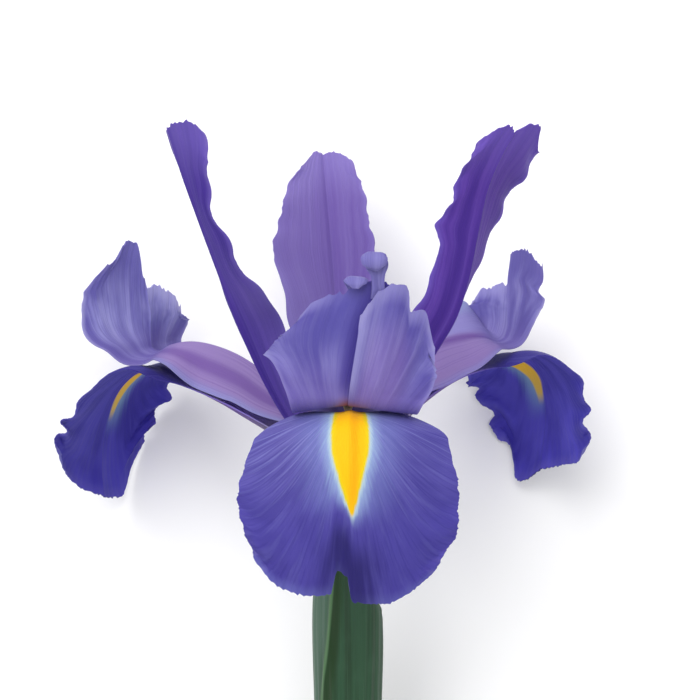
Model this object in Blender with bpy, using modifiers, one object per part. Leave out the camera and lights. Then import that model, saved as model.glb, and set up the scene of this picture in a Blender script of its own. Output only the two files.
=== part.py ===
"""Iris flower (Iris x hollandica), one cut bloom laid down on a table.

Every petal is a thin sheet. Its midrib is a curve in the flower's own frame, and its width, fold, curl and
ruffles are short lists of values along that midrib, in millimetres and degrees.
In the flower's frame +Z runs up the stem, -Y is the front, and z = 0 is the top of the perianth tube,
where the petals start. The empty `flower_axis` lays the whole flower down, front side up.
"""

import math

import bmesh
import bpy
import numpy as np

MM = 0.001

# How the cut flower lies: on the back edges of its two side falls and on the end of its stem.
REST_TILT = 17.38
REST_ROLL = 2.37
REST_PLACE = (4.96, 12.79, 32.2)

# Azimuths of the three whorls, degrees from the front towards +X.
FALL_AZIMUTHS = {"front": 0, "left": -116, "right": 122}
STANDARD_AZIMUTHS = {"left": -64, "right": 62, "back": 188}

# Where the petals stand on the perianth tube: distance from its axis, and height above its top.
SEAT_HEIGHT = 0.35
FALL_SEAT_HEIGHT = 0.55
FALL_SEAT = 4.2
STANDARD_SEAT = 4.0
STYLE_SEAT = 1.5
STAMEN_SEAT = 2.85

PETAL_THICKNESS = 0.65
SPATHE_THICKNESS = 0.7

STEM_RADIUS = 3.7
STEM_TOP = -36.0
STEM_END = -96.0
OVARY_GAP = 0.3

# A midrib lists (distance from the axis, shift to the right, height).
# A row of any other list is (station along the midrib, value), or (station, left half, right half).
# `width` is that of one half. `fold` raises the halves from the midrib and `curl` bends each one across.
# `ruffle` waves the margins, and `teeth` is the depth of their small waves.
# `crown` shapes the tip margin: (share of the way across, how many stations the tip is cut back there).
FALLS = {
    "front": {
        "midrib": [(FALL_SEAT, 0, FALL_SEAT_HEIGHT), (7, 0, 4), (11, 0, 7.2), (17, 0, 10.6), (25, 0, 13.6),
                   (33, 0, 16.9), (39, 0, 18.4), (44, 0, 17.2), (46.8, 0, 12), (47.8, 0, 4), (47.6, 0, -4),
                   (46.4, 0, -11), (44.8, 0, -16.2), (44, 0, -18)],
        "width": [(0, 2.2), (0.15, 3.4), (0.35, 4.6), (0.46, 8.6, 9.8), (0.53, 16, 17.8), (0.6, 18.5, 19.3),
                  (0.7, 20.5, 21), (0.8, 21), (0.9, 20, 20.5), (1, 18, 16.5)],
        "fold": [(0, 30), (0.3, 24), (0.5, 0), (0.7, -4), (1, -4)],
        "curl": [(0, 15), (0.4, 0), (0.55, -16), (0.8, -12), (1, -8)],
        "ruffle": [(0.45, 0), (0.7, 0.3), (1, 0.5)],
        "ruffle_phase": 0.5,
        "teeth": 0.12,
        "crown": [(0, 0.1), (0.035, 0.108, 0.09), (0.07, 0.112, 0.052), (0.165, 0.112, 0.045),
                  (0.2, 0.072, 0.043), (0.27, 0.064, 0.042), (0.5, 0.06, 0.04), (0.8, 0.085, 0.075),
                  (1, 0.14, 0.11)],
    },
    "left": {
        "midrib": [(FALL_SEAT, 0, FALL_SEAT_HEIGHT), (7.5, 0, 3.2), (12, 0, 5.6), (17, 0, 7.9), (25, 0, 11.7),
                   (31.6, 0, 15), (36.4, 0, 17.2), (41.5, 0, 18.2), (45, 0, 17.3), (48.2, 0, 14.8),
                   (50.6, 0, 11.5), (52.2, 0, 7.9), (53.4, 0, 3.2), (54, 0, -3), (53.4, 0, -9)],
        "width": [(0, 2.2), (0.15, 3.4), (0.36, 4.6), (0.46, 6), (0.52, 7.5, 11.5), (0.6, 13.5, 17),
                  (0.7, 17.5, 22.5), (0.8, 18, 24), (0.86, 16.5, 23), (0.93, 14, 21.5), (1, 15, 20)],
        "fold": [(0, 30), (0.3, 22), (0.48, 0, 6), (0.55, 10, 15), (0.65, 6, 2), (0.8, 0), (1, 3, 10)],
        "curl": [(0, 15), (0.4, 0), (0.55, -25, -16), (0.8, -26, -8), (1, -22, -3)],
        "ruffle": [(0.45, 0), (0.7, 0.8), (1, 1.4)],
        "ruffle_phase": 2.1,
        "teeth": 0.4,
        "crown": [(0, 0.01), (0.35, 0, 0.045), (0.55, 0, 0.075), (0.8, 0.08, 0.12), (1, 0.135, 0.17)],
    },
    "right": {
        "midrib": [(FALL_SEAT, 0, FALL_SEAT_HEIGHT), (7, 0, 4.5), (11, 0, 8.5), (16.2, 0, 12.5),
                   (21.9, 0, 15.9), (27.6, 0, 18.6), (32.3, 0, 20), (36.7, 0, 20.6), (40.6, 0, 19.6),
                   (43.6, 0, 16.6), (45.3, 0, 12.2), (45.9, 0, 7.3), (45.6, 0, 2.4), (44.8, 0, -2),
                   (43.4, 0, -5.5)],
        "width": [(0, 2.2), (0.15, 3.4), (0.36, 4.6), (0.47, 6.5, 9), (0.54, 12.5, 15), (0.6, 15, 17.2),
                  (0.7, 18.5, 17.8), (0.8, 19, 17.6), (0.9, 19, 16), (1, 18, 13)],
        "fold": [(0, 30), (0.3, 22), (0.48, 6, 0), (0.55, 20, -13), (0.65, 10, -11), (0.8, 0, -5), (1, 6, 0)],
        "curl": [(0, 15), (0.4, 0), (0.55, -27), (0.8, -22, -27), (1, -14, -18)],
        "ruffle": [(0.45, 0), (0.7, 0.8), (1, 1.4)],
        "ruffle_phase": 4.1,
        "teeth": 0.4,
        "crown": [(0, 0.04), (0.15, 0.05, 0.025), (0.35, 0.065, 0), (0.55, 0.075, 0), (0.8, 0.09),
                  (1, 0.125, 0.1)],
    },
}

STANDARDS = {
    "left": {
        "midrib": [(STANDARD_SEAT, 0, SEAT_HEIGHT), (8, 0, 6), (13.8, 0, 14), (18.1, 0, 21.5),
                   (22.3, 0, 30.5), (26.4, 0, 41), (29.9, 0, 50), (33.5, 0, 59.5), (36.9, 0, 69.2)],
        "twist": [(0, 0), (0.3, 5), (0.42, 0), (0.58, -24), (0.8, -22), (1, 5)],
        "width": [(0, 1.5), (0.2, 3, 4.5), (0.38, 9, 7.6), (0.5, 10, 8), (0.56, 10, 8.2), (0.6, 10.7, 7),
                  (0.65, 11, 7.4), (0.71, 11, 7), (0.75, 10.8, 5.4), (0.82, 10.4, 5.7), (0.88, 10, 6.8),
                  (0.94, 9.2, 7.9), (1, 7, 7.3)],
        "fold": [(0, 35), (0.3, 22, 60), (0.42, 13, 65), (0.55, -8, 40), (0.72, -13, 27), (0.86, -3, 28),
                 (1, 8, 23)],
        "curl": [(0, 10), (0.5, 15), (0.8, 20), (1, 25)],
        "ruffle": [(0.3, 0), (0.6, 0.3), (1, 0.6)],
        "ruffle_phase": 0.5,
        "teeth": 0.15,
        "crown": [(0, 0.02), (0.35, 0.03, 0.01), (0.8, 0.05, 0.02), (1, 0.055, 0.045)],
    },
    "right": {
        "midrib": [(STANDARD_SEAT, 0, SEAT_HEIGHT), (7.5, 0, 7), (12, 0, 15), (15.1, 0, 20.6),
                   (18.9, 0, 26.4), (22.3, 0, 32), (24.8, 0, 39.4), (26.8, 0, 48.2), (28.8, 0, 56.5),
                   (31.9, 0, 63), (36, 0, 69.2)],
        "twist": [(0, 0), (0.3, -5), (0.5, -18), (0.7, -26), (1, -20)],
        "width": [(0, 1.5), (0.2, 3), (0.4, 7.5, 3.5), (0.55, 7, 8), (0.64, 7.1, 8.5), (0.7, 8, 8.4),
                  (0.76, 7, 8.6), (0.85, 5.9, 9.3), (0.93, 6, 10.2), (1, 5, 9)],
        "fold": [(0, 35), (0.4, 50, 42), (0.7, 40, 23), (0.9, 18, -4), (1, 4, -16)],
        "curl": [(0, 10), (1, 10)],
        "ruffle": [(0.3, 0), (0.6, 0.5), (1, 0.9)],
        "ruffle_phase": 1.5,
        "teeth": 0.15,
        "crown": [(0, 0.035), (0.35, 0.025, 0), (0.55, 0.03, 0.005), (0.8, 0.06, 0.05), (1, 0.09, 0.07)],
    },
    "back": {
        "midrib": [(STANDARD_SEAT, 0, SEAT_HEIGHT), (7, 0, 8), (12, 0, 21), (19, 0, 34), (26, 0, 45),
                   (32, 0, 53), (36.5, 0, 59)],
        "width": [(0, 1.5), (0.2, 2.6), (0.4, 5.5, 11.5), (0.5, 8, 12), (0.62, 9.5, 14), (0.75, 8.5, 11.5),
                  (0.88, 8, 8.5), (1, 6, 3)],
        "fold": [(0, 30), (0.4, 20), (0.8, 12), (1, 5)],
        "curl": [(0, 10), (1, 20)],
        "ruffle": [(0.3, 0), (0.6, 0.3), (1, 0.6)],
        "ruffle_phase": 2.5,
        "teeth": 0.15,
        "crown": [(0, 0.005), (0.55, 0.01, 0), (0.8, 0.03, 0.01), (1, 0.045, 0.02)],
    },
}

# A style is an arched arm, a roof over the stamen, that forks at `fork` into two upright crests.
# `crest_gap` and `crest_lift` move each crest's inner edge sideways and towards the axis.
STYLES = {
    "front": {
        "midrib": [(STYLE_SEAT, 0, SEAT_HEIGHT), (2.4, 0, 7), (6.5, 0, 13.6), (13, 0, 18.8), (22, 0, 22.3),
                   (29, 0, 22.9), (34.5, 0, 21.7), (38.3, 0, 20.2), (40.8, 0.2, 20.8), (42.1, 0.6, 23.6),
                   (42.8, 1.4, 28), (43.2, 2.8, 35), (43.4, 4.6, 43.5)],
        "fork": 0.66,
        "width": [(0, 1.6), (0.2, 5), (0.42, 8.5), (0.6, 9.5), (0.68, 10.3, 12), (0.76, 14.4, 14.3),
                  (0.81, 17, 15), (0.86, 17.6, 15.3), (0.92, 17.2, 15), (1, 16, 14.5)],
        "fold": [(0, -35), (0.3, -50), (0.5, -40), (0.62, -11), (0.7, -5), (0.76, 0), (1, 8)],
        "crest_gap": [(0, 0), (0.66, 0), (0.72, 0, -0.3), (0.84, -1.2, -0.6), (0.92, -2.2, -0.8),
                      (1, -3, -1)],
        "crest_lift": [(0, 0), (0.66, 0), (0.72, 0.9, -0.6), (1, 1.2, -1)],
        "crown": [(0, 0, 0.03), (0.15, 0.002, 0.012), (0.35, 0.02, 0), (0.5, 0.042, 0), (0.6, 0.055, 0.03),
                  (0.8, 0.085, 0.06), (0.92, 0.13, 0.1), (1, 0.19, 0.13)],
    },
    "left": {
        "midrib": [(STYLE_SEAT, 0, SEAT_HEIGHT), (2.4, 0, 6.5), (7, 0, 12), (15.4, 0, 16.9), (20.1, 0, 20.3),
                   (26.1, 0, 22.8), (33, 0, 23.8), (37.8, 0, 22.9), (41, 0, 21.3), (42.6, 0, 21.9),
                   (43.3, 0, 24.3), (43.6, 0, 29), (43.6, 0, 36), (43.2, 0, 43.5)],
        "fork": 0.66,
        "width": [(0, 1.6), (0.2, 5), (0.42, 8.5, 9.5), (0.6, 9.5), (0.67, 11.5, 7.5), (0.72, 12.9, 10.7),
                  (0.76, 14, 14.4), (0.85, 14.5, 15.2), (0.93, 12.5, 14), (1, 11, 9.5)],
        "fold": [(0, -35), (0.3, -50), (0.5, -45), (0.62, -12, -13), (0.7, 0, -13), (0.78, 12, -30),
                 (1, 15, -30)],
        "crest_gap": [(0, 0), (0.66, 0), (0.74, 0.3), (0.92, 0.3), (1, 1)],
        "crest_lift": [(0, 0), (0.66, 0), (0.74, -0.9, 0.9), (1, -1.2, 1.2)],
        "crown": [(0, 0.145, 0.12), (0.12, 0.13, 0.08), (0.22, 0.125, 0.015), (0.35, 0.12, 0), (0.6, 0.137, 0),
                  (0.72, 0.142, 0.04), (1, 0.19, 0.05)],
    },
    "right": {
        "midrib": [(STYLE_SEAT, 0, SEAT_HEIGHT), (2.4, 0, 8), (6.5, 0, 16), (12, 0, 21), (18.4, 0, 23.8),
                   (25.3, 0, 24.7), (30.5, 0, 24.4), (34.2, 0, 23.2), (36, 0, 23.7), (37, 0, 25.6),
                   (37.4, 0, 29), (37.4, 0, 36), (37.4, 0, 45)],
        "fork": 0.64,
        "width": [(0, 1.6), (0.2, 5), (0.42, 9), (0.5, 8.5, 10), (0.58, 8, 12.5), (0.66, 5, 14),
                  (0.74, 6, 14.5), (0.8, 8, 15), (0.86, 9.2, 14.4), (0.9, 7.6, 13.5), (0.94, 8.8, 12),
                  (1, 8.5, 10)],
        "fold": [(0, -35), (0.3, -52, -48), (0.42, -48, -20), (0.52, -40, 25), (0.6, -14, 32), (0.66, -8, 28),
                 (0.72, -14, 22), (0.8, -18, 18), (1, -15, 12)],
        "crest_gap": [(0, 0), (0.64, 0), (0.72, 0.3), (0.92, 0.3), (1, 1)],
        "crest_lift": [(0, 0), (0.64, 0), (0.72, 0.9, -0.9), (1, 1.2, -1.2)],
        "crown": [(0, 0.05, 0.145), (0.35, 0.04, 0.145), (0.55, 0.04, 0.155), (0.8, 0.065, 0.17),
                  (1, 0.08, 0.2)],
    },
}
STYLE_CURL = [(0, -10), (0.5, -10), (0.8, 5), (1, 10)]

# Stamens lie under the style arms: thread up to ANTHER_START, then the anther.
STAMENS = {
    "front": [(STAMEN_SEAT, 0, SEAT_HEIGHT), (4, 0, 5), (8.5, 0, 10), (14, 0, 13.6), (20, 0, 16.5),
              (26, 0, 18), (31, 0, 19)],
    "left": [(STAMEN_SEAT, 0, SEAT_HEIGHT), (4.2, 0, 5), (9, 0, 9), (15, 0, 12.6), (20, 0, 15.4),
             (26, 0, 18), (31, 0, 19.4)],
    "right": [(STAMEN_SEAT, 0, SEAT_HEIGHT), (3.7, 0, 6), (7.5, 0, 11.8), (13, 0, 16), (18.5, 0, 18.7),
              (24, 0, 20.8), (29, 0, 21.9)],
}
ANTHER_START = 0.58
THREAD_RADIUS = 0.5
ANTHER_RADIUS = 0.95

# Turned outlines, (radius, height), from the top down.
OVARY_PROFILE = [(0, 0), (5.0, 0), (5.0, -0.8), (2.4, -4), (1.8, -7), (2.6, -11), (3.1, -17), (2.9, -24),
                 (2.0, -30), (1.8, STEM_TOP + OVARY_GAP), (0, STEM_TOP + OVARY_GAP)]

# Spathe valves: (height, radius, half of the angle it wraps), from the base to the tip.
SPATHES = {
    "outer": {
        "azimuth": -23,
        "valve": [(-74, 4.3, 168), (-70.5, 4.45, 167), (-66.5, 5.3, 165), (-60, 5.55, 160), (-50, 5.85, 155),
                  (-41, 6.15, 150), (-32, 6.4, 135), (-25, 6.4, 100), (-20, 6.1, 58), (-16.5, 5.6, 32),
                  (-14.2, 5.2, 16)],
        "keel": 0.7,
    },
    "inner": {
        "azimuth": 160,
        "valve": [(-65.5, 4.2, 150), (-60, 4.3, 150), (-50, 4.5, 145), (-41, 4.8, 140), (-32, 5.1, 120),
                  (-25, 5.1, 85), (-20, 4.8, 48), (-17, 4.4, 20), (-15, 4.1, 5)],
        "keel": 0.2,
    },
}

KEEL_WIDTH = 14

# (base colour, roughness) of each kind of piece.
LOOKS = {
    "fall": ((0.095, 0.075, 0.42), 0.55),
    "standard": ((0.115, 0.060, 0.36), 0.55),
    "style": ((0.21, 0.17, 0.48), 0.6),
    "stamen": ((0.55, 0.45, 0.62), 0.6),
    "ovary": ((0.12, 0.25, 0.08), 0.5),
    "spathe": ((0.055, 0.15, 0.075), 0.45),
    "stem": ((0.09, 0.22, 0.06), 0.5),
}


def through(keys, station):
    """A smooth curve through (station, value) keys, level beyond the first and the last of them."""
    stations, values = np.asarray(keys, float).T
    station = np.clip(station, stations[0], stations[-1])
    slopes = np.diff(values) / np.diff(stations)
    tangents = np.concatenate([slopes[:1], (slopes[:-1] + slopes[1:]) / 2, slopes[-1:]])
    before = np.clip(np.searchsorted(stations, station, side="right") - 1, 0, len(stations) - 2)
    span = np.diff(stations)[before]
    t = (station - stations[before]) / span
    return (
        (1 + 2 * t) * (1 - t) ** 2 * values[before]
        + t * (1 - t) ** 2 * span * tangents[before]
        + t * t * (3 - 2 * t) * values[before + 1]
        + t * t * (t - 1) * span * tangents[before + 1]
    )


def through_sides(keys, station, right):
    """The same for keys that may give the left and the right half values of their own."""
    left_half = through([key[:2] for key in keys], station)
    right_half = through([(key[0], key[-1]) for key in keys], station)
    return np.where(right, right_half, left_half)


def rise(start, end, x):
    """0 up to start, 1 from end on, and a smooth step between."""
    t = np.clip((x - start) / (end - start), 0, 1)
    return t * t * (3 - 2 * t)


class Midrib:
    """Evenly spaced points along a petal's midrib, each with the petal's own directions there."""

    SAMPLES = 400

    def __init__(self, azimuth, points, twist=((0, 0), (1, 0))):
        angle = math.radians(azimuth)
        outward = np.array([math.sin(angle), -math.cos(angle), 0])
        sideways = np.array([math.cos(angle), math.sin(angle), 0])
        upward = np.array([0, 0, 1])
        keys = np.array([r * outward + s * sideways + z * upward for r, s, z in points])
        chord = np.concatenate([[0], np.cumsum(np.linalg.norm(np.diff(keys, axis=0), axis=1))])
        along = np.linspace(0, chord[-1], self.SAMPLES)
        path = np.stack([through(np.column_stack([chord, keys[:, i]]), along) for i in range(3)], 1)
        arc = np.concatenate([[0], np.cumsum(np.linalg.norm(np.diff(path, axis=0), axis=1))])
        self.station = np.linspace(0, 1, self.SAMPLES)
        even = self.station * arc[-1]
        self.point = np.stack([np.interp(even, arc, path[:, i]) for i in range(3)], 1)
        tangent = np.gradient(self.point, axis=0)
        tangent /= np.linalg.norm(tangent, axis=1)[:, None]
        across = sideways - tangent * (tangent @ sideways)[:, None]
        across /= np.linalg.norm(across, axis=1)[:, None]
        inward = np.cross(tangent, across)
        turn = np.radians(through(twist, self.station))[:, None]
        self.across = across * np.cos(turn) + inward * np.sin(turn)
        self.inward = inward * np.cos(turn) - across * np.sin(turn)

    def at(self, station):
        """The midrib's point, its direction across the petal, and the one towards the flower's axis."""
        return [
            np.stack([np.interp(station, self.station, rows[:, i]) for i in range(3)], -1)
            for rows in (self.point, self.across, self.inward)
        ]


# Waves along a margin, how far the two halves' waves are apart, and the stations between which teeth grow.
RUFFLES = 7
TEETH = 13
HALF_PHASE = 1.9
TEETH_START = 0.5
TEETH_FULL = 0.65
# The station from which the crown cuts the tip's outline, for a crest and for any other petal.
CREST_CUT = 0.72
TIP_CUT = 0.6
RIDGE_SOFTNESS = 0.05


def petal_points(petal, azimuth, u, v, right):
    """Points of a petal's middle surface: u runs from -1 to 1 across it, v from 0 to 1 along it."""
    side = np.where(right, 1.0, -1.0)
    share = np.abs(u)
    fork = petal.get("fork", 1.0)
    tip = rise(CREST_CUT if fork < 1 else TIP_CUT, 1, v)
    station = v - through_sides(petal["crown"], share, right) * tip
    point, across, inward = Midrib(azimuth, petal["midrib"], petal.get("twist", ((0, 0), (1, 0)))).at(station)

    phase = petal.get("ruffle_phase", 0) + HALF_PHASE * right
    width = through_sides(petal["width"], v, right)
    teeth = np.sin(2 * math.pi * TEETH * v + phase) * rise(TEETH_START, TEETH_FULL, v)
    width = width + petal.get("teeth", 0) * teeth
    softness = RIDGE_SOFTNESS * (1 - rise(fork - 0.06, fork, v)) if fork < 1 else RIDGE_SOFTNESS
    share = np.sqrt(share**2 + softness**2) - softness
    start = np.radians(through_sides(petal["fold"], station, right))
    curl = np.radians(through_sides(petal.get("curl", STYLE_CURL), station, right))
    curl = np.where(np.abs(curl) < 1e-4, 1e-4, curl)
    end = start + curl * share
    sideways = width * (np.sin(end) - np.sin(start)) / curl
    lift = width * (np.cos(start) - np.cos(end)) / curl
    if fork < 1:
        forked = v > fork
        sideways = sideways + forked * through_sides(petal["crest_gap"], v, right)
        lift = lift + forked * through_sides(petal["crest_lift"], v, right)
    else:
        ruffle = through_sides(petal["ruffle"], v, right) * np.sin(2 * math.pi * RUFFLES * v + phase)
        lift = lift + ruffle * share**3
    return point + across * (side * sideways)[:, None] + inward * lift[:, None]


def material(kind):
    """The one material of a kind of piece."""
    if kind in bpy.data.materials:
        return bpy.data.materials[kind]
    made = bpy.data.materials.new(kind)
    made.use_nodes = True
    colour, roughness = LOOKS[kind]
    shader = made.node_tree.nodes["Principled BSDF"]
    shader.inputs["Base Color"].default_value = (*colour, 1)
    shader.inputs["Roughness"].default_value = roughness
    return made


def add_object(name, mesh, kind):
    """An object in the flower's frame, hung on the empty that lays the flower down."""
    mesh.materials.append(material(kind))
    made = bpy.data.objects.new(name, mesh)
    made.parent = bpy.data.objects["flower_axis"]
    bpy.data.collections["iris_flower"].objects.link(made)
    return made


def sheet_object(name, grids, place, kind, thickness):
    """A sheet from (columns, rows, low u, high u) grids, each bent by place(u, v, right), given thickness."""
    mesh = bpy.data.meshes.new(name)
    bm = bmesh.new()
    for columns, rows, low, high in grids:
        made = bmesh.ops.create_grid(bm, x_segments=columns, y_segments=rows, size=1)["verts"]
        flat = np.array([vert.co for vert in made])
        u = low + (high - low) * (flat[:, 0] + 1) / 2
        v = (flat[:, 1] + 1) / 2
        points = place(u, v, (u > 0) | (low >= 0))
        for vert, point in zip(made, points):
            vert.co = point * MM
    bmesh.ops.remove_doubles(bm, verts=bm.verts[:], dist=1e-7)
    bmesh.ops.triangulate(bm, faces=bm.faces[:], quad_method="FIXED")
    bm.to_mesh(mesh)
    bm.free()
    made = add_object(name, mesh, kind)
    wall = made.modifiers.new("Thickness", "SOLIDIFY")
    wall.thickness = thickness * MM
    wall.offset = 0
    return made


TIP_CROWDING = 1.3


def petal_object(name, petal, azimuth, kind, columns, rows):
    """A fall or a standard in one grid, or a style in two that share the arm's ridge up to the fork."""
    grids = [(columns, rows, -1, 1)]
    if "fork" in petal:
        grids = [(columns // 2, rows, -1, 0), (columns // 2, rows, 0, 1)]

    def place(u, v, right):
        return petal_points(petal, azimuth, u, 1 - (1 - v) ** TIP_CROWDING, right)

    return sheet_object(name, grids, place, kind, PETAL_THICKNESS)


def add_spathe(name, spathe, columns=16, rows=15):
    """A valve that wraps the stem, pointed at its tip and keeled down its middle."""
    heights, radii, wraps = np.array(spathe["valve"], float).T
    stations = (heights - heights[0]) / (heights[-1] - heights[0])

    def place(u, v, _right):
        wrapped = u * through(np.column_stack([stations, wraps]), v)
        angle = np.radians(spathe["azimuth"] + wrapped)
        radius = through(np.column_stack([stations, radii]), v)
        radius = radius + spathe["keel"] * np.exp(-((wrapped / KEEL_WIDTH) ** 2))
        height = heights[0] + (heights[-1] - heights[0]) * v
        return np.stack([radius * np.sin(angle), -radius * np.cos(angle), height], -1)

    return sheet_object(name, [(columns, rows, -1, 1)], place, "spathe", SPATHE_THICKNESS)


def add_stamen(name, points, azimuth):
    """The thread and its anther, one curve whose thickness changes along it."""
    midrib = Midrib(azimuth, points)
    stations = np.linspace(0, 1, 12)
    centres = midrib.at(stations)[0]
    data = bpy.data.curves.new(name, "CURVE")
    data.dimensions = "3D"
    data.bevel_depth = MM
    data.bevel_resolution = 1
    data.use_fill_caps = True
    spline = data.splines.new("POLY")
    spline.points.add(len(centres) - 1)
    along_anther = np.clip((stations - ANTHER_START) / (1 - ANTHER_START), 0, 1)
    swellings = ANTHER_RADIUS * np.sin(np.pi * along_anther) ** 0.5
    for point, centre, swelling in zip(spline.points, centres, swellings):
        point.co = (*(centre * MM), 1)
        point.radius = max(THREAD_RADIUS, swelling)
    made = bpy.data.objects.new(name, data)
    data.materials.append(material("stamen"))
    made.parent = bpy.data.objects["flower_axis"]
    bpy.data.collections["iris_flower"].objects.link(made)
    return made


def add_ovary():
    """Perianth tube, ovary and its stalk, one turned piece that carries every petal."""
    mesh = bpy.data.meshes.new("ovary")
    bm = bmesh.new()
    verts = [bm.verts.new((r * MM, 0, z * MM)) for r, z in OVARY_PROFILE]
    for first, second in zip(verts, verts[1:]):
        bm.edges.new((first, second))
    bm.to_mesh(mesh)
    bm.free()
    made = add_object("ovary", mesh, "ovary")
    turned = made.modifiers.new("Turned", "SCREW")
    turned.steps = turned.render_steps = 24
    turned.use_merge_vertices = True
    turned.merge_threshold = 0.00001
    turned.use_normal_calculate = True
    return made


def add_stem():
    """The cut stem, from inside the spathes to its end."""
    mesh = bpy.data.meshes.new("stem")
    bm = bmesh.new()
    bmesh.ops.create_cone(
        bm, cap_ends=True, segments=24, radius1=STEM_RADIUS * MM, radius2=0.9 * STEM_RADIUS * MM,
        depth=(STEM_TOP - STEM_END) * MM,
    )
    bmesh.ops.translate(bm, verts=bm.verts[:], vec=(0, 0, (STEM_TOP + STEM_END) / 2 * MM))
    bm.to_mesh(mesh)
    bm.free()
    return add_object("stem", mesh, "stem")


def main():
    for old in list(bpy.data.objects):
        bpy.data.objects.remove(old)
    bpy.context.scene.unit_settings.scale_length = 1
    collection = bpy.data.collections.new("iris_flower")
    bpy.context.scene.collection.children.link(collection)

    axis = bpy.data.objects.new("flower_axis", None)
    collection.objects.link(axis)
    axis.rotation_mode = "ZYX"
    axis.rotation_euler = (math.radians(REST_TILT - 90), 0, math.radians(REST_ROLL))
    axis.location = [distance * MM for distance in REST_PLACE]

    for side, petal in FALLS.items():
        petal_object(f"fall_{side}", petal, FALL_AZIMUTHS[side], "fall", columns=16, rows=28)
    for side, petal in STANDARDS.items():
        petal_object(f"standard_{side}", petal, STANDARD_AZIMUTHS[side], "standard", columns=10, rows=20)
    for side, petal in STYLES.items():
        petal_object(f"style_{side}", petal, FALL_AZIMUTHS[side], "style", columns=12, rows=28)
    for side, points in STAMENS.items():
        add_stamen(f"stamen_{side}", points, FALL_AZIMUTHS[side])
    for side, spathe in SPATHES.items():
        add_spathe(f"spathe_{side}", spathe)
    add_ovary()
    add_stem()


main()
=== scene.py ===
"""Looks of the iris flower: fine petals, spathes, stem and their materials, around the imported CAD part.

The shape tables and the functions that read them are those of part.py, in the flower's own frame and in
millimetres: +Z runs up the stem, -Y is the front, and z = 0 is the top of the perianth tube. On a petal,
u runs from -1 to 1 across it and v from 0 to 1 along it.
"""

import math

import bpy
import numpy as np
from mathutils import Matrix, Vector

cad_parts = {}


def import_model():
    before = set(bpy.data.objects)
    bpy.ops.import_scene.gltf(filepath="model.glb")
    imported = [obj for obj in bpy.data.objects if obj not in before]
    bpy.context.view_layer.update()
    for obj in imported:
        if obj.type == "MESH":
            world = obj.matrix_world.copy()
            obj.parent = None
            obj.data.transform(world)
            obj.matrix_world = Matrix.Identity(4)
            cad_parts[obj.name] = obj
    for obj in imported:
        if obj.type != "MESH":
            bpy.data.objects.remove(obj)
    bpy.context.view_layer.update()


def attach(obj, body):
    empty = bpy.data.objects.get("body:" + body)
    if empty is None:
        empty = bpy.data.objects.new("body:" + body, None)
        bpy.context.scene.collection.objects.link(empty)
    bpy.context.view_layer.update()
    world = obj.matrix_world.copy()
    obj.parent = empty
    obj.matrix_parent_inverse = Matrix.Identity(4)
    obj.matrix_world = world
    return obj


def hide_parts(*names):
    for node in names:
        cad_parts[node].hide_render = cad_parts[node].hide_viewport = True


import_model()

MM = 0.001

# How the cut flower lies: on the back edges of its two side falls and on the end of its stem.
REST_TILT = 17.38
REST_ROLL = 2.37
REST_PLACE = (4.96, 12.79, 32.2)

# Azimuths of the three whorls, degrees from the front towards +X.
FALL_AZIMUTHS = {"front": 0, "left": -116, "right": 122}
STANDARD_AZIMUTHS = {"left": -64, "right": 62, "back": 188}

# Where the petals stand on the perianth tube: distance from its axis, and height above its top.
SEAT_HEIGHT = 0.35
FALL_SEAT_HEIGHT = 0.55
FALL_SEAT = 4.2
STANDARD_SEAT = 4.0
STYLE_SEAT = 1.5
STAMEN_SEAT = 2.85

STEM_RADIUS = 3.7
STEM_TOP = -36.0
STEM_END = -96.0
OVARY_GAP = 0.3

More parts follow.
